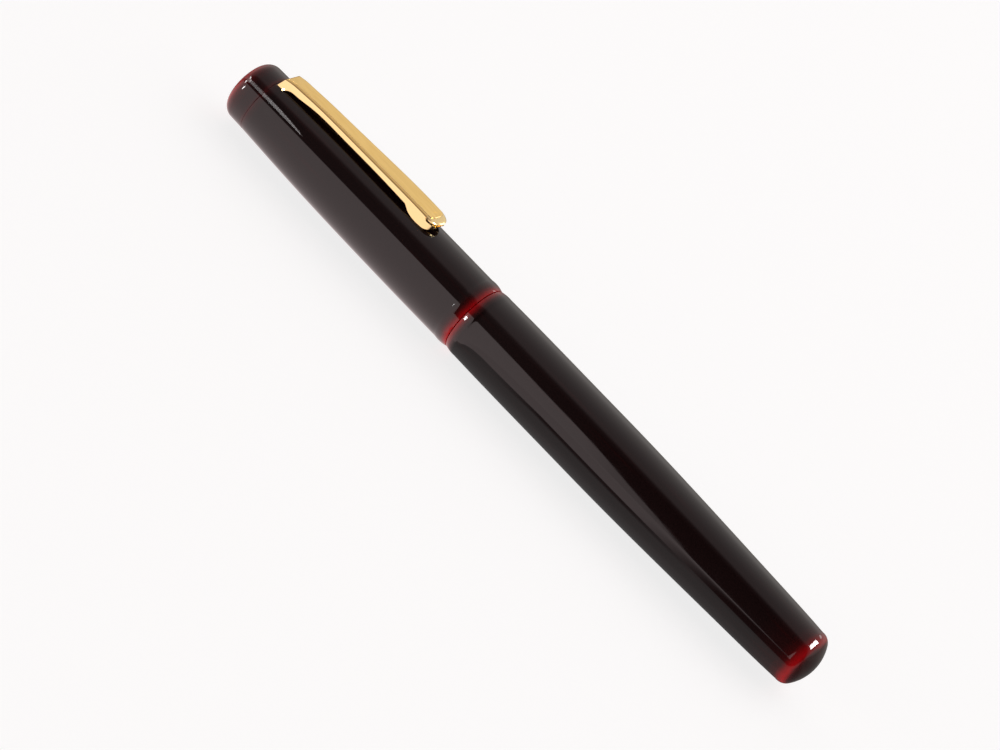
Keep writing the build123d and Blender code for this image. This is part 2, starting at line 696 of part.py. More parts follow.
with BuildPart() as barrel_tube:
    with BuildSketch(PROFILE):
        with BuildLine():
            shoulder_x = CAP_LIP_X + SEAM_GAP
            Polyline(
                (TENON_X, TENON_NOSE_R),
                (TENON_X + 0.4, TENON_CREST_R),
                (shoulder_x, TENON_CREST_R),
                (shoulder_x, BARREL_MOUTH_R),
            )
            ThreePointArc(
                (shoulder_x, BARREL_MOUTH_R),
                (shoulder_x + 0.8, BARREL_MOUTH_R + 0.27),
                (shoulder_x + BARREL_ROUND, BARREL_MOUTH_R + 0.4),
            )
            Spline(
                (shoulder_x + BARREL_ROUND, BARREL_MOUTH_R + 0.4),
                (GRIP_ZONE[0], MAX_R),
                tangents=[(1, 0.02), (1, 0)],
            )
            Line((GRIP_ZONE[0], MAX_R), (GRIP_ZONE[1], MAX_R))
            Spline(
                (GRIP_ZONE[1], MAX_R),
                (BARREL_MID_X, BARREL_MID_R),
                (BARREL_TAPER_X, BARREL_TAPER_R),
                (BARREL_EDGE_X, BARREL_EDGE_R),
                tangents=[(1, 0), (1, -0.036)],
            )
            barrel_dome_rim = (BARREL_EDGE_X + 1.75, BARREL_EDGE_R - 0.85)
            ThreePointArc(
                (BARREL_EDGE_X, BARREL_EDGE_R),
                (BARREL_EDGE_X + 1.15, BARREL_EDGE_R - 0.25),
                barrel_dome_rim,
            )
            dome_arc(barrel_dome_rim, BARREL_END_X)
            Polyline(
                (BARREL_END_X, 0),
                (BARREL_BORE_END_X + 1.5, 0),
                (BARREL_BORE_END_X, BARREL_BORE_END_R),
                (BARREL_BORE_TAPER_X, BARREL_BORE_R),
                (BUSH_END_X, BARREL_BORE_R),
                (BUSH_END_X, BUSH_OUTER_R),
                (TENON_X, BUSH_OUTER_R),
                (TENON_X, TENON_NOSE_R),
            )
        make_face()
    revolve(axis=PEN_AXIS)
    cut_rings(TENON_X + 1.0, 6, CAP_PITCH, TENON_CREST_R, CAP_THREAD_DEPTH)
barrel_tube.part.label = "barrel_tube"
export_step(barrel_tube.part, "parts/barrel_tube.step")

with BuildPart() as barrel_thread_bush:
    inner = COLLAR_THREAD_R + RUNNING_GAP
    spin([(BUSH_X, inner), (BUSH_END_X, inner), (BUSH_END_X, BUSH_OUTER_R), (BUSH_X, BUSH_OUTER_R)])
    cut_rings(BUSH_X + 0.6, 6, BUSH_PITCH, inner, -0.25)
barrel_thread_bush.part.label = "barrel_thread_bush"
export_step(barrel_thread_bush.part, "parts/barrel_thread_bush.step")

with BuildPart() as barrel_seal_ring:
    with BuildSketch(PROFILE):
        with Locations((TENON_X + 0.7, (COLLAR_THREAD_R + BUSH_OUTER_R) / 2)):
            RectangleRounded(1.2, BUSH_OUTER_R - COLLAR_THREAD_R - 2 * RUNNING_GAP, 0.2)
    revolve(axis=PEN_AXIS)
barrel_seal_ring.part.label = "barrel_seal_ring"
export_step(barrel_seal_ring.part, "parts/barrel_seal_ring.step")

# ---------------------------------------------------------------- converter

with BuildPart() as converter_tube:
    socket_end = TUBE_X + SOCKET_LENGTH
    spin(
        [
            (TUBE_X, NIPPLE_R + RUNNING_GAP),
            (socket_end, NIPPLE_R + RUNNING_GAP),
            (socket_end, 0.6),
            (socket_end + 1.3, 0.6),
            (socket_end + 1.3, TUBE_BORE_R),
            (TUBE_END_X, TUBE_BORE_R),
            (TUBE_END_X, TUBE_R),
            (TUBE_X + 0.5, TUBE_R),
            (TUBE_X, TUBE_R - 0.5),
        ]
    )
converter_tube.part.label = "converter_tube"
export_step(converter_tube.part, "parts/converter_tube.step")

with BuildPart() as converter_collar:
    spin(
        [
            (CONVERTER_COLLAR_X, TUBE_R),
            (KNOB_X - RUNNING_GAP, TUBE_R),
            (KNOB_X - RUNNING_GAP, CONVERTER_COLLAR_R),
            (CONVERTER_COLLAR_X, CONVERTER_COLLAR_R),
        ]
    )
converter_collar.part.label = "converter_collar"
export_step(converter_collar.part, "parts/converter_collar.step")

with BuildPart() as piston_guide:
    with BuildSketch(section_plane(TUBE_END_X - GUIDE_PLUG)):
        Circle(TUBE_BORE_R)
    extrude(amount=GUIDE_PLUG)
    with BuildSketch(section_plane(TUBE_END_X)):
        Circle(TUBE_R)
    extrude(amount=GUIDE_FLANGE)
    # bore with two flats that keep the carrier from turning
    with BuildSketch(section_plane(TUBE_END_X - GUIDE_PLUG)):
        Circle(CARRIER_R + RUNNING_GAP)
        Rectangle(4 * CARRIER_R, 2 * (CARRIER_FLAT + RUNNING_GAP), mode=Mode.INTERSECT)
    extrude(amount=GUIDE_PLUG + GUIDE_FLANGE, mode=Mode.SUBTRACT)
piston_guide.part.label = "piston_guide"
export_step(piston_guide.part, "parts/piston_guide.step")

with BuildPart() as converter_knob:
    neck_x = TUBE_END_X + GUIDE_FLANGE + RUNNING_GAP
    neck_bore = CARRIER_R + 0.1
    spin(
        [
            (neck_x, neck_bore),
            (KNOB_X, neck_bore),
            (KNOB_X, 0),
            (KNOB_END_X, 0),
            (KNOB_END_X, KNOB_R - 0.6),
            (KNOB_END_X - 0.6, KNOB_R),
            (KNOB_X, KNOB_R),
            (KNOB_X, TUBE_R - RUNNING_GAP),
            (neck_x, TUBE_R - RUNNING_GAP),
        ]
    )
    # grip flutes
    with Locations(section_plane(KNOB_X + 1.2)):
        with PolarLocations(KNOB_R + 0.15, FLUTE_COUNT):
            Cylinder(
                FLUTE_R,
                KNOB_END_X - KNOB_X - 2.4,
                align=(Align.CENTER, Align.CENTER, Align.MIN),
                mode=Mode.SUBTRACT,
            )
converter_knob.part.label = "converter_knob"
export_step(converter_knob.part, "parts/converter_knob.step")

with BuildPart() as piston_spindle:
    spin(
        [
            (SPINDLE_X, 0),
            (KNOB_X, 0),
            (KNOB_X, SPINDLE_R),
            (SPINDLE_X + 0.3, SPINDLE_R),
            (SPINDLE_X, SPINDLE_R - 0.3),
        ]
    )
    cut_rings(SPINDLE_X + 1.0, 22, 1.0, SPINDLE_R, 0.2)
piston_spindle.part.label = "piston_spindle"
export_step(piston_spindle.part, "parts/piston_spindle.step")

with BuildPart() as piston_carrier:
    with BuildSketch(section_plane(CARRIER_X)):
        Circle(CARRIER_R)
        Rectangle(4 * CARRIER_R, 2 * CARRIER_FLAT, mode=Mode.INTERSECT)
    extrude(amount=CARRIER_END_X - CARRIER_X)
    with BuildSketch(section_plane(CARRIER_END_X)):
        Circle(CARRIER_BORE_R)
    extrude(amount=-(CARRIER_END_X - CARRIER_X - 0.9), mode=Mode.SUBTRACT)
    # stem that carries the seal
    with BuildSketch(section_plane(CARRIER_X)):
        Circle(SEAL_STEM_R)
    extrude(amount=-SEAL_LENGTH + 0.5)
piston_carrier.part.label = "piston_carrier"
export_step(piston_carrier.part, "parts/piston_carrier.step")

with BuildPart() as piston_seal:
    front = CARRIER_X - SEAL_LENGTH
    lip = TUBE_BORE_R - RUNNING_GAP
    spin(
        [
            (front, 0),
            (front, lip - 0.3),
            (front + 0.3, lip),
            (front + 0.9, lip),
            (front + 1.3, lip - 0.4),
            (CARRIER_X - 1.3, lip - 0.4),
            (CARRIER_X - 0.9, lip),
            (CARRIER_X, lip),
            (CARRIER_X, SEAL_STEM_R),
            (front + 0.5, SEAL_STEM_R),
            (front + 0.5, 0),
        ]
    )
piston_seal.part.label = "piston_seal"
export_step(piston_seal.part, "parts/piston_seal.step")
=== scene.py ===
import math

import bmesh
import bpy
import numpy as np
from mathutils import Matrix, Vector


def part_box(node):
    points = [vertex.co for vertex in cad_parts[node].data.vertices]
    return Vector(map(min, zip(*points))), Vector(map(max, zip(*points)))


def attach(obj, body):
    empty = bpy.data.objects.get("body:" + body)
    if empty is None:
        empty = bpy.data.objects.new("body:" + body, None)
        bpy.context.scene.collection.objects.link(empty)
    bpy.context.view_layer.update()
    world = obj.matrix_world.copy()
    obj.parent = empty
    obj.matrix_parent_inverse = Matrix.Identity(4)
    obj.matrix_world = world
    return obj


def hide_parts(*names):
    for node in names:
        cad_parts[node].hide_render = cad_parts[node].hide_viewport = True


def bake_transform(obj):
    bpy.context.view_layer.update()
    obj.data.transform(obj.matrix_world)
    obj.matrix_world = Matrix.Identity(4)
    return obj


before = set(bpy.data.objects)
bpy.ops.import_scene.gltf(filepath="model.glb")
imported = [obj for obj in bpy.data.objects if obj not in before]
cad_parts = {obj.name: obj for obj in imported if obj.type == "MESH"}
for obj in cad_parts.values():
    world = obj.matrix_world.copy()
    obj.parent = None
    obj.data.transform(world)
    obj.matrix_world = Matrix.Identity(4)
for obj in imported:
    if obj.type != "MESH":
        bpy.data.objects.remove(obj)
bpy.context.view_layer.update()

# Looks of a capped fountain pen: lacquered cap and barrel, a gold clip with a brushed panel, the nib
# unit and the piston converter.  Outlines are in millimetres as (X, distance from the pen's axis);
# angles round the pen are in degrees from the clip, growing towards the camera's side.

MM = 0.001


def box_mm(node):
    """The lowest and highest corner of a CAD node in millimetres."""
    low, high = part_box(node)
    return low / MM, high / MM


# ---------------------------------------------------------------- places taken from the frame

crown_low, crown_high = box_mm("cap_crown")
cap_high = box_mm("cap_tube")[1]
barrel_low, barrel_high = box_mm("barrel_tube")
clip_low, clip_high = box_mm("clip")
sleeve_low, sleeve_high = box_mm("cap_thread_sleeve")
collar_low, collar_high = box_mm("thread_collar")
bush_low, bush_high = box_mm("barrel_thread_bush")
spindle_low, spindle_high = box_mm("piston_spindle")
spring_low, spring_high = box_mm("inner_cap_spring")

TOP_X = crown_low.x
SEAM_X = crown_high.x
LIP_X = cap_high.x
END_X = barrel_high.x
AXIS_Z = (barrel_low.z + barrel_high.z) / 2
TENON_X = barrel_low.x

# ---------------------------------------------------------------- camera

CAMERA_DISTANCE = 0.8586
CAMERA_ELEVATION = math.radians(30)
CAMERA_ROLL = 0.6613
CAMERA_X = 0.2151
CAMERA_LENS = 174.9
TARGET_X = -0.00294
TARGET_DROP = 0.0043
camera_place = Vector(
    (
        CAMERA_X,
        -CAMERA_DISTANCE * math.cos(CAMERA_ELEVATION),
        AXIS_Z * MM + CAMERA_DISTANCE * math.sin(CAMERA_ELEVATION),
    )
)
camera_target = Vector((TARGET_X, 0, AXIS_Z * MM - TARGET_DROP))


def add_camera():
    """A long lens above the pen's side, rolled so that the pen lies across the picture's diagonal."""
    data = bpy.data.cameras.new("camera")
    data.lens = CAMERA_LENS
    data.clip_start = 0.05
    camera = bpy.data.objects.new("camera", data)
    bpy.context.scene.collection.objects.link(camera)
    ahead = (camera_target - camera_place).normalized()
    right = ahead.cross(Vector((0, 0, 1))).normalized()
    up = right.cross(ahead)
    rolled_right = math.cos(CAMERA_ROLL) * right + math.sin(CAMERA_ROLL) * up
    rolled_up = math.cos(CAMERA_ROLL) * up - math.sin(CAMERA_ROLL) * right
    turn = Matrix((rolled_right, rolled_up, -ahead)).transposed().to_4x4()
    camera.matrix_world = Matrix.Translation(camera_place) @ turn
    bpy.context.scene.camera = camera


add_camera()
bpy.context.scene.view_settings.view_transform = "Standard"

# ---------------------------------------------------------------- node helpers


class Shader:
    """A node tree with short calls for the nodes used here."""

    def __init__(self, tree):
        self.nodes = tree.nodes
        self.links = tree.links
        self.nodes.clear()

    def add(self, kind, **values):
        """A node, with its properties or inputs set by name, or inputs by number as i0, i1."""
        made = self.nodes.new("ShaderNode" + kind)
        for name, value in values.items():
            if name[0] == "i" and name[1:].isdigit():
                self.put(made.inputs[int(name[1:])], value)
            elif name in made.bl_rna.properties:
                setattr(made, name, value)
            else:
                self.put(made.inputs[name.replace("_", " ")], value)
        return made

    def put(self, socket, value):
        """Links an output to the socket, or sets its value."""
        if isinstance(value, bpy.types.NodeSocket):
            self.links.new(value, socket)
        else:
            socket.default_value = value

    def math(self, operation, a, b=0.0, c=0.0):
        """The result of a maths operation on values or outputs."""
        return self.add("Math", operation=operation, i0=a, i1=b, i2=c).outputs[0]

    def spread(self, value, low, high, to_low=0.0, to_high=1.0, smooth=True):
        """Value mapped from low..high to to_low..to_high, clamped."""
        made = self.add("MapRange", i0=value, i1=low, i2=high, i3=to_low, i4=to_high)
        made.interpolation_type = "SMOOTHSTEP" if smooth else "LINEAR"
        return made.outputs[0]

    def ramp(self, value, stops, low=0.0, high=1.0):
        """A colour or grey ramp with stops of (place, colour or grey), places between low and high."""
        scaled = self.spread(value, low, high, smooth=False)
        made = self.add("ValToRGB", Fac=scaled)
        elements = made.color_ramp.elements
        while len(elements) < len(stops):
            elements.new(0.5)
        for element, (place, shade) in zip(elements, stops):
            element.position = (place - low) / (high - low)
            element.color = (*shade, 1) if hasattr(shade, "__len__") else (shade, shade, shade, 1)
        return made.outputs[0]

    def noise(self, coordinates, scale, stretch=(1, 1, 1), detail=3.0):
        """A noise value on stretched coordinates."""
        mapped = self.add("Mapping", Vector=coordinates, Scale=stretch)
        return self.add("TexNoise", Vector=mapped.outputs[0], Scale=scale, Detail=detail).outputs[0]

    def mix(self, factor, a, b):
        """A colour between a and b."""
        made = self.add("Mix", data_type="RGBA")
        for socket, value in ((made.inputs[0], factor), (made.inputs[6], a), (made.inputs[7], b)):
            self.put(socket, (*value, 1) if isinstance(value, tuple) and len(value) == 3 else value)
        return made.outputs[2]


# ---------------------------------------------------------------- studio

SOFTBOX = (1.24, 1.06, 1.06)
DARK = (0.030, 0.022, 0.022)
FLOOR_SHADE = 0.80
FLOOR_HALF = 4.0
FLOOR_GAP = 0.00002


def add_world():
    """A studio seen in reflections: a low wide softbox on the camera's side that is cut off on a slant,
    dark above it, and a soft grey that grows beyond the top."""
    world = bpy.data.worlds.new("studio")
    bpy.context.scene.world = world
    world.use_nodes = True
    s = Shader(world.node_tree)
    direction = s.add("SeparateXYZ", Vector=s.add("TexCoord").outputs["Generated"])
    x, y, z = direction.outputs
    angle = s.math("DEGREES", s.math("ARCTAN2", s.math("MULTIPLY", y, -1.0), z))
    sky = s.ramp(
        angle,
        [
            (-140, (0.30, 0.28, 0.26)),
            (-96, (0.40, 0.38, 0.36)),
            (-72, (0.78, 0.74, 0.71)),
            (-40, (0.70, 0.65, 0.63)),
            (-18, (0.55, 0.49, 0.49)),
            (-4, (0.47, 0.40, 0.40)),
            (12, (0.43, 0.35, 0.35)),
            (20, (0.10, 0.07, 0.07)),
            (30, DARK),
            (179, DARK),
        ],
        -180,
        180,
    )
    towards_head = s.spread(x, -0.27, -0.20, 1.0, 0.0)
    sky = s.mix(s.math("MULTIPLY", towards_head, 0.05), sky, (1.0, 0.85, 0.85))
    stops = [
        (-0.45, 58.2),
        (-0.25, 58.6),
        (-0.22, 62.0),
        (-0.20, 66.0),
        (-0.155, 77.0),
        (-0.12, 99.0),
        (-0.10, 114.0),
    ]
    edge = s.math("MULTIPLY", s.ramp(x, [(place, turn / 180) for place, turn in stops], -0.5, 0.0), 180.0)
    past = s.spread(s.math("SUBTRACT", angle, edge), 0.0, 1.4)
    panel = s.mix(s.spread(x, -0.24, -0.18), SOFTBOX, tuple(0.76 * c for c in SOFTBOX))
    background = s.add("Background", Color=s.mix(past, sky, panel), Strength=1.0)
    s.add("OutputWorld", Surface=background.outputs[0])


def add_floor():
    """A wide pale floor.  Reflections see it as paper with painted light and shade: a painted bright patch
    under the cap, painted shadow grey under the barrel, with a painted dark line where the softbox's edge
    falls."""
    corners = [(x * FLOOR_HALF, y * FLOOR_HALF, 0) for x, y in ((-1, -1), (1, -1), (1, 1), (-1, 1))]
    mesh = bpy.data.meshes.new("floor")
    mesh.from_pydata(corners, [], [(0, 1, 2, 3)])
    floor = bpy.data.objects.new("floor", mesh)
    bpy.context.scene.collection.objects.link(floor)
    floor.location.z = -FLOOR_GAP
    material = bpy.data.materials.new("floor_paper")
    material.use_nodes = True
    s = Shader(material.node_tree)
    x, y = s.add("SeparateXYZ", Vector=s.add("TexCoord").outputs["Object"]).outputs[:2]
    # Painted dark line, seen only in reflections: its place follows the softbox's edge across the floor.
    border = [
        (-0.0127, 8.3),
        (-0.0123, 12.0),
        (-0.011, 15.3),
        (-0.009, 17.0),
        (-0.004, 17.6),
        (0.002, 19.0),
        (0.006, 20.5),
    ]
    border_y = s.math("MULTIPLY", s.ramp(x, [(at, mm / 100) for at, mm in border], -0.05, 0.05), -0.1)
    inside = s.math("SUBTRACT", y, border_y)
    painted_dark_line = s.ramp(inside, [(-0.0022, 0.0), (-0.0004, 1.0), (0.0030, 1.0), (0.0060, 0.0)], -0.05, 0.05)
    strength = s.ramp(x, [(-0.005, 0.12), (0.007, 0.78), (0.030, 0.78), (0.048, 0.10)], -0.05, 0.1)
    # Painted shadow of the pen on its near side, darker close to the pen, seen only in reflections.
    painted_shadow_greys = [(-0.022, 0.42), (-0.0145, 0.44), (-0.0070, 0.36), (-0.0045, 0.22), (-0.001, 0.10)]
    grey = s.ramp(y, painted_shadow_greys, -0.05, 0.05)
    grey = s.math("MULTIPLY", grey, s.math("SUBTRACT", 1.0, s.math("MULTIPLY", painted_dark_line, strength)))
    softbox_part = s.mix(s.spread(x, 0.028, 0.055), tuple(0.9 * c for c in SOFTBOX), DARK)
    beyond = s.spread(inside, -0.0016, -0.0004, 1.0, 0.0)
    barrel_side = s.mix(beyond, grey, softbox_part)
    # Painted bright patch under the cap, seen only in reflections.
    cap_side = s.mix(s.spread(y, -0.009, -0.003), SOFTBOX, tuple(0.78 * c for c in SOFTBOX))
    near_side = s.mix(s.spread(x, -0.0150, -0.0118), cap_side, barrel_side)
    far_side = s.mix(s.spread(y, 0.006, 0.05), (0.20, 0.19, 0.18), (0.34, 0.32, 0.30))
    seen = s.mix(s.spread(y, 0.0, 0.005), near_side, far_side)
    # Glossy rays see this painted map of light and shade; the camera sees the evenly bright floor with faint
    # real shadows.
    glossy = s.add("Emission", Color=seen, Strength=1.0)
    paper = s.add("BsdfDiffuse", Color=(0.34, 0.34, 0.34, 1))
    glow = s.add("Emission", Color=(1, 1, 1, 1), Strength=FLOOR_SHADE)
    lit = s.add("AddShader", i0=paper.outputs[0], i1=glow.outputs[0])
    is_glossy = s.add("LightPath").outputs["Is Glossy Ray"]
    chosen = s.add("MixShader", i0=is_glossy, i1=lit.outputs[0], i2=glossy.outputs[0])
    s.add("OutputMaterial", Surface=chosen.outputs[0])
    mesh.materials.append(material)


def add_light(name, target, direction, distance, width, height, radiance, glossy, diffuse):
    """A rectangular lamp that faces a point of the pen from a direction, with a given brightness."""
    data = bpy.data.lights.new(name, "AREA")
    data.shape = "RECTANGLE"
    data.size, data.size_y = width, height
    data.energy = radiance * math.pi * width * height
    lamp = bpy.data.objects.new(name, data)
    bpy.context.scene.collection.objects.link(lamp)
    away = Vector(direction).normalized()
    lamp.location = Vector(target) + away * distance
    lamp.rotation_mode = "QUATERNION"
    lamp.rotation_quaternion = away.to_track_quat("Z", "Y")
    lamp.visible_camera = False
    lamp.visible_glossy = glossy
    lamp.visible_diffuse = diffuse


add_world()
add_floor()
MIDDLE = (0, 0, AXIS_Z * MM)
HEAD = (-0.070, -0.005, 0.011)
TIP = (-0.030, 0, 0.016)
add_light("key_softbox", MIDDLE, (0.15, 0.75, 0.9), 0.9, 0.5, 0.5, 0.9, False, True)
add_light("front_fill", MIDDLE, (0.2, -0.8, 0.5), 1.0, 0.8, 0.4, 0.35, False, True)
add_light("end_lamp", MIDDLE, (0.58, 0.22, 0.79), 0.8, 0.50, 0.42, 26.0, True, False)
add_light("mouth_lamp", MIDDLE, (-0.9, -0.37, 0.33), 0.8, 0.20, 0.16, 14.0, True, False)
add_light("head_lamp", HEAD, (-0.535, -0.825, 0.180), 0.8, 0.11, 0.17, 30.0, True, False)
add_light("tip_lamp", TIP, (0.22, 0.82, 0.53), 0.7, 0.22, 0.12, 2.4, True, False)

# ---------------------------------------------------------------- materials


def new_material(name, **fixed):
    """A material with a Principled shader whose even values are set on its own sockets."""
    material = bpy.data.materials.new(name)
    material.use_nodes = True
    s = Shader(material.node_tree)
    bsdf = s.add("BsdfPrincipled")
    for socket, value in fixed.items():
        bsdf.inputs[socket.replace("_", " ")].default_value = value
    s.add("OutputMaterial", Surface=bsdf.outputs[0])
    where = s.add("TexCoord").outputs["Object"]
    return material, s, bsdf, where


def relief(s, bsdf, height, depth_mm, strength=1.0):
    """Bump from a height value, with its depth in millimetres."""
    bump = s.add("Bump", Strength=strength, Distance=depth_mm * MM, Height=height)
    s.put(bsdf.inputs["Normal"], bump.outputs[0])


LACQUER_DARK = (0.0105, 0.0042, 0.0042)
LACQUER_DEEP = (0.040, 0.0030, 0.0030)
LACQUER_RED = (0.50, 0.004, 0.007)


def lacquer(name, rims):
    """Polished translucent lacquer: almost black where it is thick, red where it thins at a rim, and
    less polished where it is cut.  rims is a list of (X in mm, redness)."""
    material, s, bsdf, where = new_material(name, IOR=1.5)
    x = s.math("DIVIDE", s.add("SeparateXYZ", Vector=where).outputs[0], MM)
    low, high = rims[0][0], rims[-1][0]
    cloud = s.noise(where, 260.0, (0.5, 1, 1), 4.0)
    wavy = s.math("ADD", x, s.spread(cloud, 0.3, 0.7, -0.16, 0.16))
    thin = s.ramp(wavy, rims, low, high)
    streaks = s.noise(where, 1400.0, (0.03, 1, 1), 2.0)
    body = s.mix(s.spread(streaks, 0.56, 0.80, 0.0, 0.30), LACQUER_DARK, LACQUER_DEEP)
    s.put(bsdf.inputs["Base Color"], s.mix(thin, body, LACQUER_RED))
    polish = s.noise(where, 900.0, (0.3, 1, 1), 4.0)
    cut = s.add("Attribute", attribute_name="cut_depth").outputs["Fac"]
    matt = s.spread(cut, 0.01, 0.06, 0.0, 0.26)
    s.put(bsdf.inputs["Roughness"], s.math("ADD", s.spread(polish, 0.3, 0.75, 0.035, 0.075), matt))
    relief(s, bsdf, s.noise(where, 120.0, (0.35, 1, 1), 1.0), 0.0018)
    return material


def gold(name, colour, roughness, brushed=False, worn=0.03):
    """Gold plate, polished with faint hairlines, or brushed along the pen."""
    material, s, bsdf, where = new_material(name, Metallic=1.0)
    scale, along = (3400.0, 0.07) if brushed else (2600.0, 0.2)
    lines = s.noise(where, scale, (along, 1, 1), 5.0)
    patches = s.noise(where, 160.0, (0.4, 1, 1), 3.0)
    warm = tuple(c * k for c, k in zip(colour, (0.90, 0.86, 0.76)))
    shade = s.spread(lines, 0.3, 0.7, 0.0, 0.95) if brushed else s.spread(patches, 0.3, 0.8, 0.0, 0.35)
    s.put(bsdf.inputs["Base Color"], s.mix(shade, colour, warm))
    s.put(bsdf.inputs["Roughness"], s.spread(patches, 0.3, 0.7, roughness - worn, roughness + worn))
    relief(s, bsdf, lines, 0.022 if brushed else 0.0005)
    return material


def metal(name, colour, roughness, ringed=True):
    """Turned metal: fine rings across the pen's axis."""
    material, s, bsdf, where = new_material(name, Metallic=1.0)
    rings = s.noise(where, 2500.0, (1, 0.04, 0.04) if ringed else (1, 1, 1), 4.0)
    dark = tuple(c * 0.72 for c in colour)
    s.put(bsdf.inputs["Base Color"], s.mix(s.spread(rings, 0.3, 0.8, 0.0, 0.5), colour, dark))
    s.put(bsdf.inputs["Roughness"], s.spread(rings, 0.3, 0.7, roughness - 0.05, roughness + 0.08))
    relief(s, bsdf, rings, 0.0015)
    return material


def resin(name, colour, roughness, grain_mm=0.0012, scale=1800.0):
    """Moulded resin or rubber with a fine grain and slight cloudiness."""
    material, s, bsdf, where = new_material(name, IOR=1.5)
    grain = s.noise(where, scale, (1, 1, 1), 4.0)
    cloud = s.noise(where, 140.0, (1, 1, 1), 2.0)
    lighter = tuple(min(1.0, c * 1.5 + 0.004) for c in colour)
    s.put(bsdf.inputs["Base Color"], s.mix(s.spread(cloud, 0.3, 0.8), colour, lighter))
    s.put(bsdf.inputs["Roughness"], s.spread(grain, 0.3, 0.7, roughness - 0.05, roughness + 0.08))
    relief(s, bsdf, grain, grain_mm)
    return material


def clear_resin(name):
    """Clear moulded resin with faint draw lines."""
    material, s, bsdf, where = new_material(name, IOR=1.49, **{"Transmission Weight": 1.0})
    lines = s.noise(where, 1500.0, (0.05, 1, 1), 2.0)
    s.put(bsdf.inputs["Base Color"], s.mix(s.spread(lines, 0.3, 0.8), (0.96, 0.97, 0.97), (0.88, 0.91, 0.92)))
    s.put(bsdf.inputs["Roughness"], s.spread(lines, 0.3, 0.7, 0.02, 0.09))
    relief(s, bsdf, lines, 0.0008)
    return material


def nib_gold(name):
    """Polished nib with two engraved border lines that follow its edge, painted darker as painted shade in
    the cuts, and a paler centre.
    """
    material, s, bsdf, where = new_material(name, Metallic=1.0)
    tip_x = box_mm("nib")[0].x
    x, y = s.add("SeparateXYZ", Vector=where).outputs[:2]
    half = s.spread(x, tip_x * MM, (tip_x + 15) * MM, 0.0006, 0.0031, smooth=False)
    share = s.math("DIVIDE", s.math("ABSOLUTE", y), half)
    borders = [(0.0, 0.0), (0.60, 0.0), (0.63, 1.0), (0.66, 0.0), (0.72, 0.0), (0.75, 1.0), (0.78, 0.0)]
    line = s.ramp(share, borders)
    tail = s.spread(x, (tip_x + 17.5) * MM, (tip_x + 18.0) * MM, 1.0, 0.0)
    cut = s.math("MULTIPLY", line, tail)
    centre = s.math("MULTIPLY", s.spread(share, 0.58, 0.62, 1.0, 0.0), tail)
    base = s.mix(centre, (0.93, 0.68, 0.29), (0.86, 0.80, 0.70))
    # Painted shade: the engraved lines are coloured darker gold as well as cut by the bump.
    s.put(bsdf.inputs["Base Color"], s.mix(cut, base, (0.35, 0.24, 0.10)))
    s.put(bsdf.inputs["Roughness"], s.spread(s.noise(where, 900.0), 0.3, 0.7, 0.10, 0.20))
    relief(s, bsdf, s.math("MULTIPLY", cut, -1.0), 0.03)
    return material


cap_lacquer = lacquer(
    "cap_lacquer",
    [
        (SEAM_X, 0.10),
        (SEAM_X + 0.5, 0.035),
        (SEAM_X + 1.6, 0.0),
        (LIP_X - 2.6, 0.0),
        (LIP_X - 2.0, 0.02),
        (LIP_X - 1.4, 0.07),
        (LIP_X - 1.0, 0.20),
        (LIP_X - 0.6, 0.48),
        (LIP_X, 1.0),
    ],
)
crown_lacquer = lacquer(
    "crown_lacquer",
    [
        (TOP_X, 0.10),
        (TOP_X + 0.9, 0.25),
        (TOP_X + 1.25, 0.95),
        (TOP_X + 1.8, 0.50),
        (TOP_X + 2.3, 0.20),
        (TOP_X + 3.0, 0.07),
        (TOP_X + 4.2, 0.015),
        (SEAM_X - 0.7, 0.02),
        (SEAM_X, 0.10),
    ],
)
barrel_lacquer = lacquer(
    "barrel_lacquer",
    [
        (LIP_X, 1.0),
        (LIP_X + 0.5, 0.62),
        (LIP_X + 0.9, 0.34),
        (LIP_X + 1.4, 0.08),
        (LIP_X + 2.0, 0.0),
        (END_X - 12.0, 0.0),
        (END_X - 6.0, 0.02),
        (END_X - 4.3, 0.08),
        (END_X - 3.7, 0.28),
        (END_X - 3.1, 0.62),
        (END_X - 2.4, 0.85),
        (END_X - 2.1, 0.55),
        (END_X - 1.7, 0.05),
        (END_X, 0.0),
    ],
)
grip_low, grip_high = box_mm("grip_section")
grip_lacquer = lacquer(
    "grip_lacquer",
    [
        (grip_low.x, 0.9),
        (grip_low.x + 1.0, 0.8),
        (grip_low.x + 1.8, 0.10),
        (grip_low.x + 3.0, 0.0),
        (grip_high.x - 1.0, 0.0),
        (grip_high.x, 0.30),
    ],
)
GOLD = (0.97, 0.75, 0.37)
polished_gold = gold("polished_gold", GOLD, 0.13)
satin_gold = gold("satin_gold", (0.90, 0.64, 0.24), 0.24)
brushed_gold = gold("brushed_gold", (0.95, 0.67, 0.24), 0.32, brushed=True)
engraved_nib = nib_gold("engraved_nib")
hard_tip = metal("hard_tip", (0.75, 0.75, 0.76), 0.16, ringed=False)
brass = metal("machined_brass", (0.78, 0.60, 0.30), 0.26)
steel = metal("plain_steel", (0.62, 0.62, 0.64), 0.27)
black_resin = resin("moulded_black_resin", (0.022, 0.022, 0.025), 0.34)
feed_resin = resin("matt_feed_resin", (0.014, 0.014, 0.016), 0.52)
milky_resin = resin("milky_resin", (0.62, 0.63, 0.60), 0.34)
rubber = resin("smooth_rubber", (0.018, 0.018, 0.020), 0.55, 0.002, 2600.0)
clear = clear_resin("clear_tube_resin")

# ---------------------------------------------------------------- outline helpers


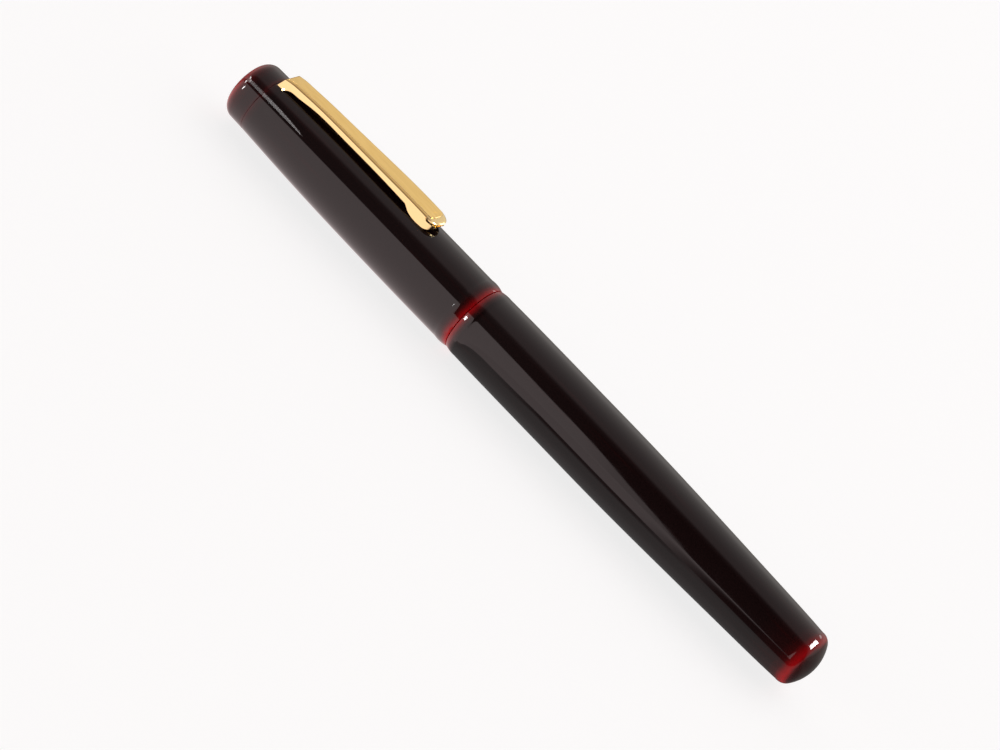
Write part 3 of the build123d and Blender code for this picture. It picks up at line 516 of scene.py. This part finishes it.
def flow(stations, count):
    """Points along a natural cubic spline through (X, radius) stations."""
    xs, ys = np.array(stations, float).T
    steps = np.diff(xs)
    size = len(xs)
    system, right = np.eye(size), np.zeros(size)
    slopes = np.diff(ys) / steps
    for i in range(1, size - 1):
        system[i, i - 1 : i + 2] = steps[i - 1], 2 * (steps[i - 1] + steps[i]), steps[i]
        right[i] = 6 * (slopes[i] - slopes[i - 1])
    bend = np.linalg.solve(system, right)
    at = np.linspace(xs[0], xs[-1], count)
    k = np.clip(np.searchsorted(xs, at, side="right") - 1, 0, size - 2)
    a, b = (xs[k + 1] - at) / steps[k], (at - xs[k]) / steps[k]
    value = a * ys[k] + b * ys[k + 1]
    value += ((a**3 - a) * bend[k] + (b**3 - b) * bend[k + 1]) * steps[k] ** 2 / 6
    return list(zip(at, value))


def arc(start, middle, end, count):
    """Points along the circle through three points."""
    (ax, ay), (bx, by), (cx, cy) = start, middle, end
    d = 2 * (ax * (by - cy) + bx * (cy - ay) + cx * (ay - by))
    a2, b2, c2 = ax * ax + ay * ay, bx * bx + by * by, cx * cx + cy * cy
    ux = (a2 * (by - cy) + b2 * (cy - ay) + c2 * (ay - by)) / d
    uy = (a2 * (cx - bx) + b2 * (ax - cx) + c2 * (bx - ax)) / d
    radius = math.hypot(ax - ux, ay - uy)
    first = math.atan2(ay - uy, ax - ux)
    turn_middle = (math.atan2(by - uy, bx - ux) - first) % math.tau
    turn = (math.atan2(cy - uy, cx - ux) - first) % math.tau
    if turn_middle > turn:
        turn -= math.tau
    angles = [first + turn * t for t in np.linspace(0, 1, count)]
    return [(ux + radius * math.cos(a), uy + radius * math.sin(a)) for a in angles]


def dome(rim, apex_x, count):
    """Points from a rim to the apex of a round dome on the axis."""
    rise = abs(rim[0] - apex_x)
    sphere = (rim[1] ** 2 + rise**2) / (2 * rise)
    side = 1 if rim[0] > apex_x else -1
    spread = math.asin(rim[1] / sphere)
    return [
        (apex_x + side * sphere * (1 - math.cos(a)), max(0.0, sphere * math.sin(a)))
        for a in np.linspace(spread, 0, count)
    ]


def evenly(start, end, count):
    """Points along a straight line."""
    return [tuple(p) for p in np.linspace(start, end, count)]


def joined(*runs):
    """Runs of points in a row, without repeats where they meet."""
    points = []
    for run in runs:
        for x, r in run:
            if not points or math.hypot(points[-1][0] - x, points[-1][1] - r) > 1e-4:
                points.append((float(x), float(r)))
    return points


def smooth_step(t):
    """A smooth rise from 0 to 1 as t goes from 0 to 1."""
    t = min(1.0, max(0.0, t))
    return t * t * (3 - 2 * t)


# ---------------------------------------------------------------- mesh helpers

EVEN_TURN = [i * 1.5 for i in range(240)]
COARSE_TURN = [i * 6.0 for i in range(60)]
PIECE_SHARP = 32
CLIP_SHARP = 30


def make_piece(name, points_mm, faces, materials, body, replaces=(), sharp=PIECE_SHARP, indices=None):
    """A mesh piece from points in millimetres, which rides on a body if one is given."""
    mesh = bpy.data.meshes.new(name)
    mesh.from_pydata([tuple(np.array(p) * MM) for p in points_mm], [], faces)
    for material in materials:
        mesh.materials.append(material)
    if indices is not None:
        mesh.polygons.foreach_set("material_index", indices)
    mesh.validate()
    mesh.shade_smooth()
    mesh.set_sharp_from_angle(angle=math.radians(sharp))
    mesh.update()
    piece = bpy.data.objects.new(name, mesh)
    bpy.context.scene.collection.objects.link(piece)
    if body:
        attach(piece, body)
    if replaces:
        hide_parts(*replaces)
    return piece


def around(x, radius, degrees):
    """The point at an angle from the clip, growing towards the camera's side."""
    a = math.radians(degrees)
    return (x, -radius * math.sin(a), AXIS_Z + radius * math.cos(a))


def lathe(name, outline, material, body, replaces=(), turn=EVEN_TURN, change=None, closed=True):
    """Turns an outline about the pen's axis.  change(x, radius, angle) may alter each point's radius.
    A closed outline's end is joined to its start; an open one starts and ends on the axis.  With a
    change, the depth cut in millimetres is kept for the material."""
    points, rings, cuts = [], [], []
    for x, radius in outline:
        if radius < 1e-6:
            rings.append([len(points)] * len(turn))
            points.append((x, 0, AXIS_Z))
            cuts.append(0.0)
        else:
            rings.append(list(range(len(points), len(points) + len(turn))))
            changed = [change(x, radius, a) if change else radius for a in turn]
            points += [around(x, r, a) for r, a in zip(changed, turn)]
            cuts += [radius - r for r in changed]
    pairs = list(zip(rings, rings[1:]))
    if closed:
        pairs.append((rings[-1], rings[0]))
    faces = []
    for first, second in pairs:
        for i in range(len(turn)):
            j = (i + 1) % len(turn)
            corners = tuple(dict.fromkeys((first[i], first[j], second[j], second[i])))
            if len(corners) > 2:
                faces.append(corners)
    piece = make_piece(name, points, outward(points, faces), [material], body, replaces)
    if change:
        depth = piece.data.attributes.new("cut_depth", "FLOAT", "POINT")
        depth.data.foreach_set("value", cuts)
    return piece


def outward(points, faces):
    """The faces, all turned over if the closed surface would enclose a negative volume."""
    p = np.array(points, float)
    volume = 0.0
    for face in faces:
        a = p[face[0]]
        for i in range(1, len(face) - 1):
            volume += float(np.dot(a, np.cross(p[face[i]], p[face[i + 1]])))
    return [tuple(reversed(f)) for f in faces] if volume < 0 else faces


def screw(x, angle, pitch, depth, starts=1, half=0.36):
    """How deep a right-hand V thread cuts at a place."""
    phase = (x / pitch - starts * angle / 360.0) % 1.0
    return depth * max(0.0, 1.0 - abs(phase - 0.5) / half)


# ---------------------------------------------------------------- lacquered cap

GROOVE_ANGLE = 56.0
GROOVE_LENGTH = 17.4
GROOVE_WIDTH = 1.20
GROOVE_SLOPE = 0.30
GROOVE_WALL = 0.10
CROWN_R = (crown_high.y - crown_low.y) / 2
MAX_R = (barrel_high.y - barrel_low.y) / 2
sleeve_r_outer = (sleeve_high.y - sleeve_low.y) / 2
CROWN_EDGE_X = TOP_X + 3.0
CROWN_RIM = (TOP_X + 0.85, 4.7)
LIP_R = 7.08
OUTSIDE_R = 5.9
SEAM_GAP = 0.15
GROOVE_START_SHARE = 0.15
GROOVE_INNER_SHARE = 0.72
NOTCH_DEPTH = 0.42
NOTCH_LENGTH = 3.2
NOTCH_HALF = 0.62
NOTCH_FROM_EDGE = 0.45
TUBE_BORE_R = 5.4
SLEEVE_SEAT_R = 5.95
SCREW_HOLE_R = 1.52
SCREW_HOLE_DEPTH = 4.3
WEB_HOLE_R = 1.65
WEB_FROM_TOP = 8.0
BORE_STEP_FROM_TOP = 36.5
ANCHOR_SEAT_R = 5.25
ANCHOR_SEAT_DEPTH = 0.65

groove_turn = list(np.arange(GROOVE_ANGLE - 13.0, GROOVE_ANGLE + 0.8, 0.4))
groove_turn += [GROOVE_ANGLE - a for a in (0.0, 0.45, 0.9)]
head_turn = sorted(
    {round(a, 3) for a in EVEN_TURN} | {round(side * a % 360, 3) for side in (1, -1) for a in groove_turn}
)


def head_groove(x, radius, angle):
    """A shallow groove on each side of the head, shaped like a long lens with a steep wall and a flat
    one that rises to the clip's side, and a notch where it meets the rim.  The bore stays round."""
    along = (x - TOP_X) / GROOVE_LENGTH
    from_edge = math.radians(GROOVE_ANGLE - min(angle, 360 - angle)) * radius
    in_bore = x > CROWN_EDGE_X and radius < OUTSIDE_R
    if along >= 1 or from_edge <= 0 or radius < CROWN_R * GROOVE_INNER_SHARE or in_bore:
        return radius
    inner = min(1.0, (radius / CROWN_R - GROOVE_INNER_SHARE) / 0.2)
    width = GROOVE_WIDTH * math.sqrt((GROOVE_START_SHARE + along) * (1 - along))
    depth = GROOVE_SLOPE * width * inner
    if from_edge < GROOVE_WALL:
        cut = depth * from_edge / GROOVE_WALL
    else:
        cut = depth * max(0.0, 1 - (from_edge - GROOVE_WALL) / width)
    notch = NOTCH_DEPTH * inner * (1 - smooth_step((x - TOP_X) / NOTCH_LENGTH))
    return radius - max(cut, notch * max(0.0, 1 - abs(from_edge - NOTCH_FROM_EDGE) / NOTCH_HALF))


def build_cap():
    """Crown and cap tube, with the bore, the rounded lip and the grooves in the head."""
    hole_x = SEAM_X - SCREW_HOLE_DEPTH
    crown = joined(
        reversed(dome(CROWN_RIM, TOP_X, 26)),
        arc(CROWN_RIM, (TOP_X + 1.75, 5.93), (CROWN_EDGE_X, CROWN_R - 0.06), 20),
        evenly((CROWN_EDGE_X, CROWN_R - 0.06), (SEAM_X - 0.07, CROWN_R - 0.002), 22),
        [(SEAM_X, CROWN_R - 0.07), (SEAM_X, 3.6), (SEAM_X, SCREW_HOLE_R)],
        [(hole_x, SCREW_HOLE_R), (hole_x, 0)],
    )
    lathe(
        "cap_crown_lacquered", crown, crown_lacquer, "cap", ["cap_crown"],
        head_turn, head_groove, closed=False,
    )

    web_x = TOP_X + WEB_FROM_TOP
    bore_step_x = TOP_X + BORE_STEP_FROM_TOP
    seat_x = SEAM_X + ANCHOR_SEAT_DEPTH
    lip_start = (LIP_X - 2.8, MAX_R - 0.04)
    outside = flow(
        [
            (SEAM_X + 0.07, CROWN_R),
            (TOP_X + 20.0, 6.95),
            (TOP_X + 33.0, 7.22),
            (LIP_X - 14.0, MAX_R - 0.03),
            lip_start,
        ],
        96,
    )
    tube = joined(
        [(SEAM_X, CROWN_R - 0.07)],
        outside,
        arc(lip_start, (LIP_X - 0.55, MAX_R - 0.12), (LIP_X - 0.03, LIP_R), 22),
        [(LIP_X, LIP_R - 0.05), (LIP_X, sleeve_r_outer)],
        evenly((LIP_X, sleeve_r_outer), (sleeve_low.x, sleeve_r_outer), 10),
        evenly((sleeve_low.x, SLEEVE_SEAT_R), (bore_step_x, SLEEVE_SEAT_R), 12),
        evenly((bore_step_x, TUBE_BORE_R), (web_x, TUBE_BORE_R), 24),
        [(web_x, WEB_HOLE_R), (seat_x, WEB_HOLE_R), (seat_x, ANCHOR_SEAT_R), (SEAM_X, ANCHOR_SEAT_R)],
    )
    lathe("cap_tube_lacquered", tube, cap_lacquer, "cap", ["cap_tube"], head_turn, head_groove)


build_cap()

# ---------------------------------------------------------------- barrel

TENON_R = 6.0
CAP_PITCH = 1.0
CAP_STARTS = 2
CAP_THREAD_DEPTH = 0.3
BARREL_THREAD_R = 4.5
BARREL_PITCH = 0.8
BARREL_THREAD_DEPTH = 0.25
RUNNING_GAP = 0.05
bush_r_outer = (bush_high.y - bush_low.y) / 2


def tenon_thread(x, radius, angle):
    """The cap's thread on the barrel's tenon."""
    inside = TENON_X + 0.9 < x < TENON_X + 6.9
    if not inside or abs(radius - TENON_R) > 0.01:
        return radius
    return radius - screw(x, angle, CAP_PITCH, CAP_THREAD_DEPTH, CAP_STARTS)


def build_barrel():
    """The barrel: threaded tenon, rounded mouth, parallel zone, long taper and domed end."""
    shoulder_x = LIP_X + SEAM_GAP
    edge_x = END_X - 4.0
    rim = (END_X - 1.88, 5.0)
    mouth_end = (shoulder_x + 2.2, MAX_R - 0.08)
    outline = joined(
        [(TENON_X, 5.5), (TENON_X + 0.4, TENON_R)],
        evenly((TENON_X + 0.4, TENON_R), (shoulder_x, TENON_R), 80),
        [(shoulder_x, TENON_R), (shoulder_x, LIP_R - 0.07)],
        arc((shoulder_x + 0.04, LIP_R), (shoulder_x + 0.65, LIP_R + 0.13), mouth_end, 16),
        flow(
            [
                mouth_end,
                (-6.0, MAX_R - 0.02),
                (-1.0, MAX_R),
                (6.0, MAX_R),
                (13.0, MAX_R - 0.012),
                (26.0, 7.31),
                (38.5, 7.075),
                (60.4, 6.43),
                (71.2, 6.03),
                (edge_x, 5.93),
            ],
            130,
        ),
        arc((edge_x, 5.93), (edge_x + 1.3, 5.70), rim, 16),
        dome(rim, END_X - 0.32, 26),
    )
    bore = [
        (65.5, 0),
        (64, 3.4),
        (46, 4.7),
        (bush_high.x, 4.7),
        (bush_high.x, bush_r_outer),
        (TENON_X, bush_r_outer),
    ]
    full = joined(outline, bore)
    lathe("barrel_lacquered", full, barrel_lacquer, "barrel", ["barrel_tube"], change=tenon_thread)


build_barrel()

# ---------------------------------------------------------------- threaded inserts


def threaded_ring(name, low_x, high_x, crest, other, depth, pitch, starts, material, body, node):
    """A ring with a screw thread on its crest face; other is the radius of its plain face."""
    inwards = crest < other
    sign = -1 if inwards else 1
    first, last = low_x + 0.5, high_x - 0.6

    def cut(x, radius, angle):
        if abs(radius - crest) > 0.01 or not first < x < last:
            return radius
        return radius - sign * screw(x, angle, pitch, depth, starts)

    count = int((high_x - low_x) / pitch * 10)
    chamfer = 0.25
    outline = joined(
        [(low_x, other), (low_x, crest - sign * chamfer), (low_x + chamfer, crest)],
        evenly((low_x + chamfer, crest), (high_x - chamfer, crest), count),
        [(high_x, crest - sign * chamfer), (high_x, other)],
    )
    lathe(name, outline, material, body, [node], change=cut)


threaded_ring(
    "cap_thread_sleeve_cut", sleeve_low.x, sleeve_high.x, TENON_R + RUNNING_GAP, sleeve_r_outer,
    CAP_THREAD_DEPTH, CAP_PITCH, CAP_STARTS, brass, "cap", "cap_thread_sleeve",
)
threaded_ring(
    "barrel_thread_bush_cut", bush_low.x, bush_high.x, BARREL_THREAD_R + RUNNING_GAP, bush_r_outer,
    BARREL_THREAD_DEPTH, BARREL_PITCH, 1, brass, "barrel", "barrel_thread_bush",
)


def build_collar():
    """The nib unit's collar with the barrel's fine thread."""
    crest, bore, seat = BARREL_THREAD_R, 3.8, 4.4
    ring_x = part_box("section_ring")[0].x / MM

    def cut(x, radius, angle):
        if abs(radius - crest) > 0.01 or not bush_low.x < x < collar_high.x - 0.5:
            return radius
        return radius - screw(x, angle, BARREL_PITCH, BARREL_THREAD_DEPTH)

    outline = joined(
        [(collar_low.x, bore), (collar_low.x, seat), (ring_x, seat), (ring_x, crest)],
        evenly((ring_x, crest), (collar_high.x - 0.3, crest), 150),
        [(collar_high.x, crest - 0.3), (collar_high.x, bore)],
    )
    lathe("thread_collar_cut", outline, polished_gold, "section", ["thread_collar"], change=cut)


def build_spindle():
    """The converter's quick-thread spindle."""
    crest, pitch, depth, starts = 1.2, 1.25, 0.2, 2

    def cut(x, radius, angle):
        if abs(radius - crest) > 0.01 or not spindle_low.x + 0.8 < x < spindle_high.x - 1.0:
            return radius
        return radius - screw(x, angle, pitch, depth, starts)

    outline = joined(
        [(spindle_low.x, 0), (spindle_low.x, crest - 0.3)],
        evenly((spindle_low.x + 0.3, crest), (spindle_high.x, crest), 190),
        [(spindle_high.x, 0)],
    )
    lathe("piston_spindle_cut", outline, steel, "knob", ["piston_spindle"], COARSE_TURN, cut, False)


build_collar()
build_spindle()

# ---------------------------------------------------------------- spring of the inner cap


def build_spring():
    """A three-turn coil with flat cut ends."""
    wire, coil_r, turns = 0.2, 4.3, 3
    first, last = spring_low.x + wire, spring_high.x - wire
    steps, sides = 180, 12
    points, faces = [], []
    for i in range(steps + 1):
        t = i / steps
        angle = math.radians(360 * turns * t)
        along = first + (last - first) * t
        centre = Vector((along, -coil_r * math.sin(angle), AXIS_Z + coil_r * math.cos(angle)))
        radial = Vector((0, -math.sin(angle), math.cos(angle)))
        for k in range(sides):
            b = math.tau * k / sides
            points.append(tuple(centre + radial * wire * math.cos(b) + Vector((wire * math.sin(b), 0, 0))))
    for i in range(steps):
        for k in range(sides):
            m = (k + 1) % sides
            faces.append((i * sides + k, i * sides + m, (i + 1) * sides + m, (i + 1) * sides + k))
    faces.append(tuple(range(sides - 1, -1, -1)))
    faces.append(tuple(range(steps * sides, (steps + 1) * sides)))
    piece = make_piece(
        "inner_cap_spring_coil", points, outward(points, faces), [steel], None, ["inner_cap_spring"]
    )
    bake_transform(piece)


build_spring()

# ---------------------------------------------------------------- clip

CLIP_ROOT_X, CLIP_TIP_X = clip_low.x, clip_high.x
PANEL_END_X = CLIP_TIP_X - 1.5
ROUND_X = CLIP_TIP_X - 2.75
ROOT_START_X = CLIP_ROOT_X + 0.25
ROOT_LEAN = 0.85
BEVEL = 0.42
BEVEL_DROP = 0.27
NOSE_DROP = 0.34
PANEL_RISE = 0.10
RAIL = 0.12
RECESS = 0.30
WALL = 0.45
BACK = 0.80
GROOVE_IN = 0.45
STRAIGHT_STATIONS = 153
FOOT_START_X = -36.5
ROOT_BOTTOM = 5.40
ROOT_LENGTH = 1.5
ROOT_SOLID = 0.6
ROOF_TOP = 8.62
LEAN_LENGTH = 3.0
LEAN_LOW = 6.3
LEAN_RISE = 1.9
FLARE = 0.45
FLARE_END_X = -60.0
FLARE_FROM = 6.9
FLARE_FALL = 1.4
SLIT = 0.55
SLIT_RISE = 0.7
SLIT_LAND = 0.05
NOSE_STATIONS = 41
NOSE_POWER = 2.4
SEAT_POWER = 3.2


def through(stations):
    """A function that follows (x, value) stations smoothly."""
    xs = [s[0] for s in stations]
    curve = np.array(flow(stations, 600))

    def at(x):
        return float(np.interp(min(max(x, xs[0]), xs[-1]), curve[:, 0], curve[:, 1]))

    return at


# Stations are (X, height above the pen's axis).  clip_half holds half the clip's width instead, and
# front_edge goes by the distance from the clip's middle.
clip_top = through(
    [
        (-70.4, 8.12),
        (-68.5, 8.42),
        (-66.0, 8.62),
        (-63.0, 8.83),
        (-55.5, 9.11),
        (-45.0, 9.38),
        (-36.5, 9.53),
        (-32.5, 9.50),
        (-29.1, 9.40),
    ]
)
clip_half = through(
    [(-70.6, 2.36), (-66.0, 2.28), (-60.0, 2.28), (-55.0, 2.36), (-45.0, 2.66), (-36.5, 2.80), (-29.1, 2.80)]
)
lower_edge = through(
    [
        (-69.2, 5.6),
        (-68.3, 6.40),
        (-66.0, 7.00),
        (-62.4, 7.52),
        (-54.7, 7.89),
        (-44.0, 8.13),
        (FOOT_START_X, 8.04),
    ]
)
foot_edge = through(
    [(FOOT_START_X, 8.04), (-36.0, 7.76), (-35.4, 7.38), (-34.3, 7.0), (-32.8, 6.86), (-31.6, 6.93)]
)
front_edge = [
    (0.0, 8.60),
    (1.22, 8.60),
    (1.38, 8.12),
    (1.55, 8.0),
    (1.9, 7.76),
    (2.3, 7.42),
    (2.6, 7.14),
    (2.8, 6.93),
]


def clip_bottom(x, y):
    """Height of the wall's lower edge at a place on the outline."""
    if x < CLIP_ROOT_X + ROOT_LENGTH:
        return ROOT_BOTTOM
    if x < FOOT_START_X:
        return lower_edge(x)
    if x < ROUND_X:
        return foot_edge(x)
    return float(np.interp(abs(y), [p[0] for p in front_edge], [p[1] for p in front_edge]))


def squared_round(t, length, half, power):
    """A point on the rounded tip's outline, from the side (t = 0) to the front (t = 1)."""
    a = math.pi / 2 * t
    return ROUND_X + length * math.sin(a) ** (2 / power), half * math.cos(a) ** (2 / power)


def clip_stations():
    """Places round the clip's half outline: centre x, outer (x, y) and seat (x, y)."""
    stations = []
    root = [ROOT_START_X, ROOT_START_X + 0.10, ROOT_START_X + 0.12]
    for x in root + list(np.linspace(ROOT_START_X + 0.3, ROUND_X, STRAIGHT_STATIONS - len(root))):
        half = clip_half(x)
        stations.append((x, (x, half), (x, half - BEVEL - RAIL)))
    half = clip_half(ROUND_X)
    for t in np.linspace(0, 1, NOSE_STATIONS)[1:]:
        outer = squared_round(t, CLIP_TIP_X - ROUND_X, half, NOSE_POWER)
        seat = squared_round(t, PANEL_END_X - ROUND_X, half - BEVEL - RAIL, SEAT_POWER)
        stations.append((ROUND_X, outer, seat))
    return stations


def root_lean(centre_x, z):
    """How far the clip's root leans towards the tip at a height, fading out along the clip."""
    fade = max(0.0, 1 - (centre_x - ROOT_START_X) / LEAN_LENGTH)
    return ROOT_LEAN * fade * min(1.0, max(0.0, (z - LEAN_LOW) / LEAN_RISE))


def clip_section(centre_x, outer, seat):
    """One section of the clip's tray, from the seat's middle over rail, bevel, side and wall to the roof."""
    x, half = outer
    round_part = max(0.0, (x - ROUND_X) / (CLIP_TIP_X - ROUND_X))
    top = clip_top(x)
    recess = 0.0 if centre_x < ROOT_START_X + 0.11 else RECESS
    drop = BEVEL_DROP + (NOSE_DROP - BEVEL_DROP) * smooth_step(round_part)
    bottom = clip_bottom(x, half)
    roof = ROOT_BOTTOM if x <= ROOT_START_X + ROOT_SOLID else max(min(top - BACK, ROOF_TOP), bottom)
    flare = FLARE * smooth_step((FLARE_FROM - bottom) / FLARE_FALL) if x < FLARE_END_X else 0.0
    out = np.array(outer) - np.array(seat)
    out = out / np.linalg.norm(out)

    def at(base, shift, z):
        return (base[0] + out[0] * shift + root_lean(centre_x, z), base[1] + out[1] * shift, z)

    def over_bevel(share, fall):
        px = seat[0] + (outer[0] - seat[0]) * share
        py = seat[1] + (outer[1] - seat[1]) * share
        return at((px, py), 0, top - drop * fall)

    rail_share = RAIL / math.dist(outer, seat)
    slit_top = top - drop - SLIT_LAND
    slit = min(SLIT * smooth_step((x - ROUND_X) / SLIT_RISE), max(0.0, slit_top - bottom - SLIT_LAND))
    return [
        at((centre_x, 0), 0, top - recess),
        at(seat, 0, top - recess),
        at(seat, 0, top - 0.02),
        at(seat, 0.02, top),
        over_bevel(rail_share, 0),
        over_bevel(rail_share + (1 - rail_share) * 0.5, 0.34),
        over_bevel(rail_share + (1 - rail_share) * 0.85, 0.74),
        at(outer, 0, top - drop),
        at(outer, 0, slit_top),
        at(outer, -GROOVE_IN if slit > 0 else 0, slit_top),
        at(outer, -GROOVE_IN if slit > 0 else 0, slit_top - slit),
        at(outer, 0, slit_top - slit),
        at(outer, flare * 0.25, bottom + min(0.5, (slit_top - slit - bottom) * 0.5)),
        at(outer, flare, bottom + 0.04),
        at(outer, flare - 0.05, bottom),
        at(outer, -WALL, bottom),
        at(outer, -WALL, roof),
        at((centre_x, 0), 0, roof),
    ]


def mirrored_sweep(name, sections, materials, index_of, node):
    """A closed mesh from sections round half an outline and their mirror images."""
    points, faces, indices = [], [], []
    size = len(sections[0])
    for side in (-1, 1):
        first = len(points)
        for section in sections:
            points += [(x, side * y, AXIS_Z + z) for x, y, z in section]
        for k in range(len(sections) - 1):
            for i in range(size - 1):
                a, b = first + k * size + i, first + (k + 1) * size + i
                corners = (a, a + 1, b + 1, b)
                faces.append(corners if side < 0 else tuple(reversed(corners)))
                indices.append(index_of(i, k))
    left = list(range(size))
    right = [len(sections) * size + i for i in range(size)]
    faces.append(tuple(reversed(left)) + tuple(right))
    indices.append(0)
    piece = make_piece(name, points, faces, materials, None, (), CLIP_SHARP, indices)
    shape = bmesh.new()
    shape.from_mesh(piece.data)
    bmesh.ops.remove_doubles(shape, verts=shape.verts, dist=2e-7)
    bmesh.ops.dissolve_degenerate(shape, edges=shape.edges, dist=2e-7)
    bmesh.ops.recalc_face_normals(shape, faces=shape.faces)
    shape.to_mesh(piece.data)
    shape.free()
    piece.data.set_sharp_from_angle(angle=math.radians(CLIP_SHARP))
    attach(piece, "clip")
    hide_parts(node)
    return piece


def build_clip():
    """The clip's tray: rails round the panel's seat, bevels, side walls with the foot, a rounded nose."""
    sections = [clip_section(*station) for station in clip_stations()]
    mirrored_sweep(
        "clip_tray", sections, [polished_gold, satin_gold],
        lambda i, k: 1 if i in (4, 5, 6) and k < STRAIGHT_STATIONS else 0, "clip",
    )


def build_panel():
    """The brushed plate in the clip's seat, square at the root and rounded at the tip."""
    gap = 0.03
    sections = []
    for centre_x, _, seat in clip_stations()[3:]:
        top = clip_top(seat[0])
        away = np.array(seat) - np.array((centre_x, 0.0))
        away = away / np.linalg.norm(away)
        lean = root_lean(centre_x, top)

        def at(inwards, z):
            return (seat[0] - away[0] * inwards + lean, max(0.0, seat[1] - away[1] * inwards), z)

        middle = (centre_x + lean, 0.0)
        half_way = ((centre_x + seat[0]) / 2 + lean, seat[1] / 2)
        sections.append(
            [
                (*middle, top + PANEL_RISE),
                (*half_way, top + PANEL_RISE - 0.002),
                at(gap + 0.10, top + PANEL_RISE - 0.006),
                at(gap + 0.05, top + PANEL_RISE - 0.012),
                at(gap, top + PANEL_RISE - 0.04),
                at(gap, top - RECESS + 0.01),
                (*middle, top - RECESS + 0.01),
            ]
        )
    mirrored_sweep(
        "clip_panel_brushed", sections, [brushed_gold, polished_gold], lambda i, k: 0 if i < 2 else 1,
        "clip_panel",
    )


build_clip()
build_panel()

# ---------------------------------------------------------------- finishes of the other CAD nodes

CAD_SHARP = 30
finishes = {
    "clip_anchor": polished_gold,
    "crown_screw": steel,
    "spring_washer": steel,
    "inner_cap": black_resin,
    "grip_section": grip_lacquer,
    "section_ring": polished_gold,
    "feed_housing": black_resin,
    "feed": feed_resin,
    "nib": engraved_nib,
    "nib_point": hard_tip,
    "barrel_seal_ring": rubber,
    "converter_tube": clear,
    "converter_collar": polished_gold,
    "converter_knob": black_resin,
    "piston_guide": black_resin,
    "piston_carrier": milky_resin,
    "piston_seal": rubber,
}
for node_name, material in finishes.items():
    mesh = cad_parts[node_name].data
    mesh.materials.clear()
    mesh.materials.append(material)
    mesh.shade_smooth()
    mesh.set_sharp_from_angle(angle=math.radians(CAD_SHARP))
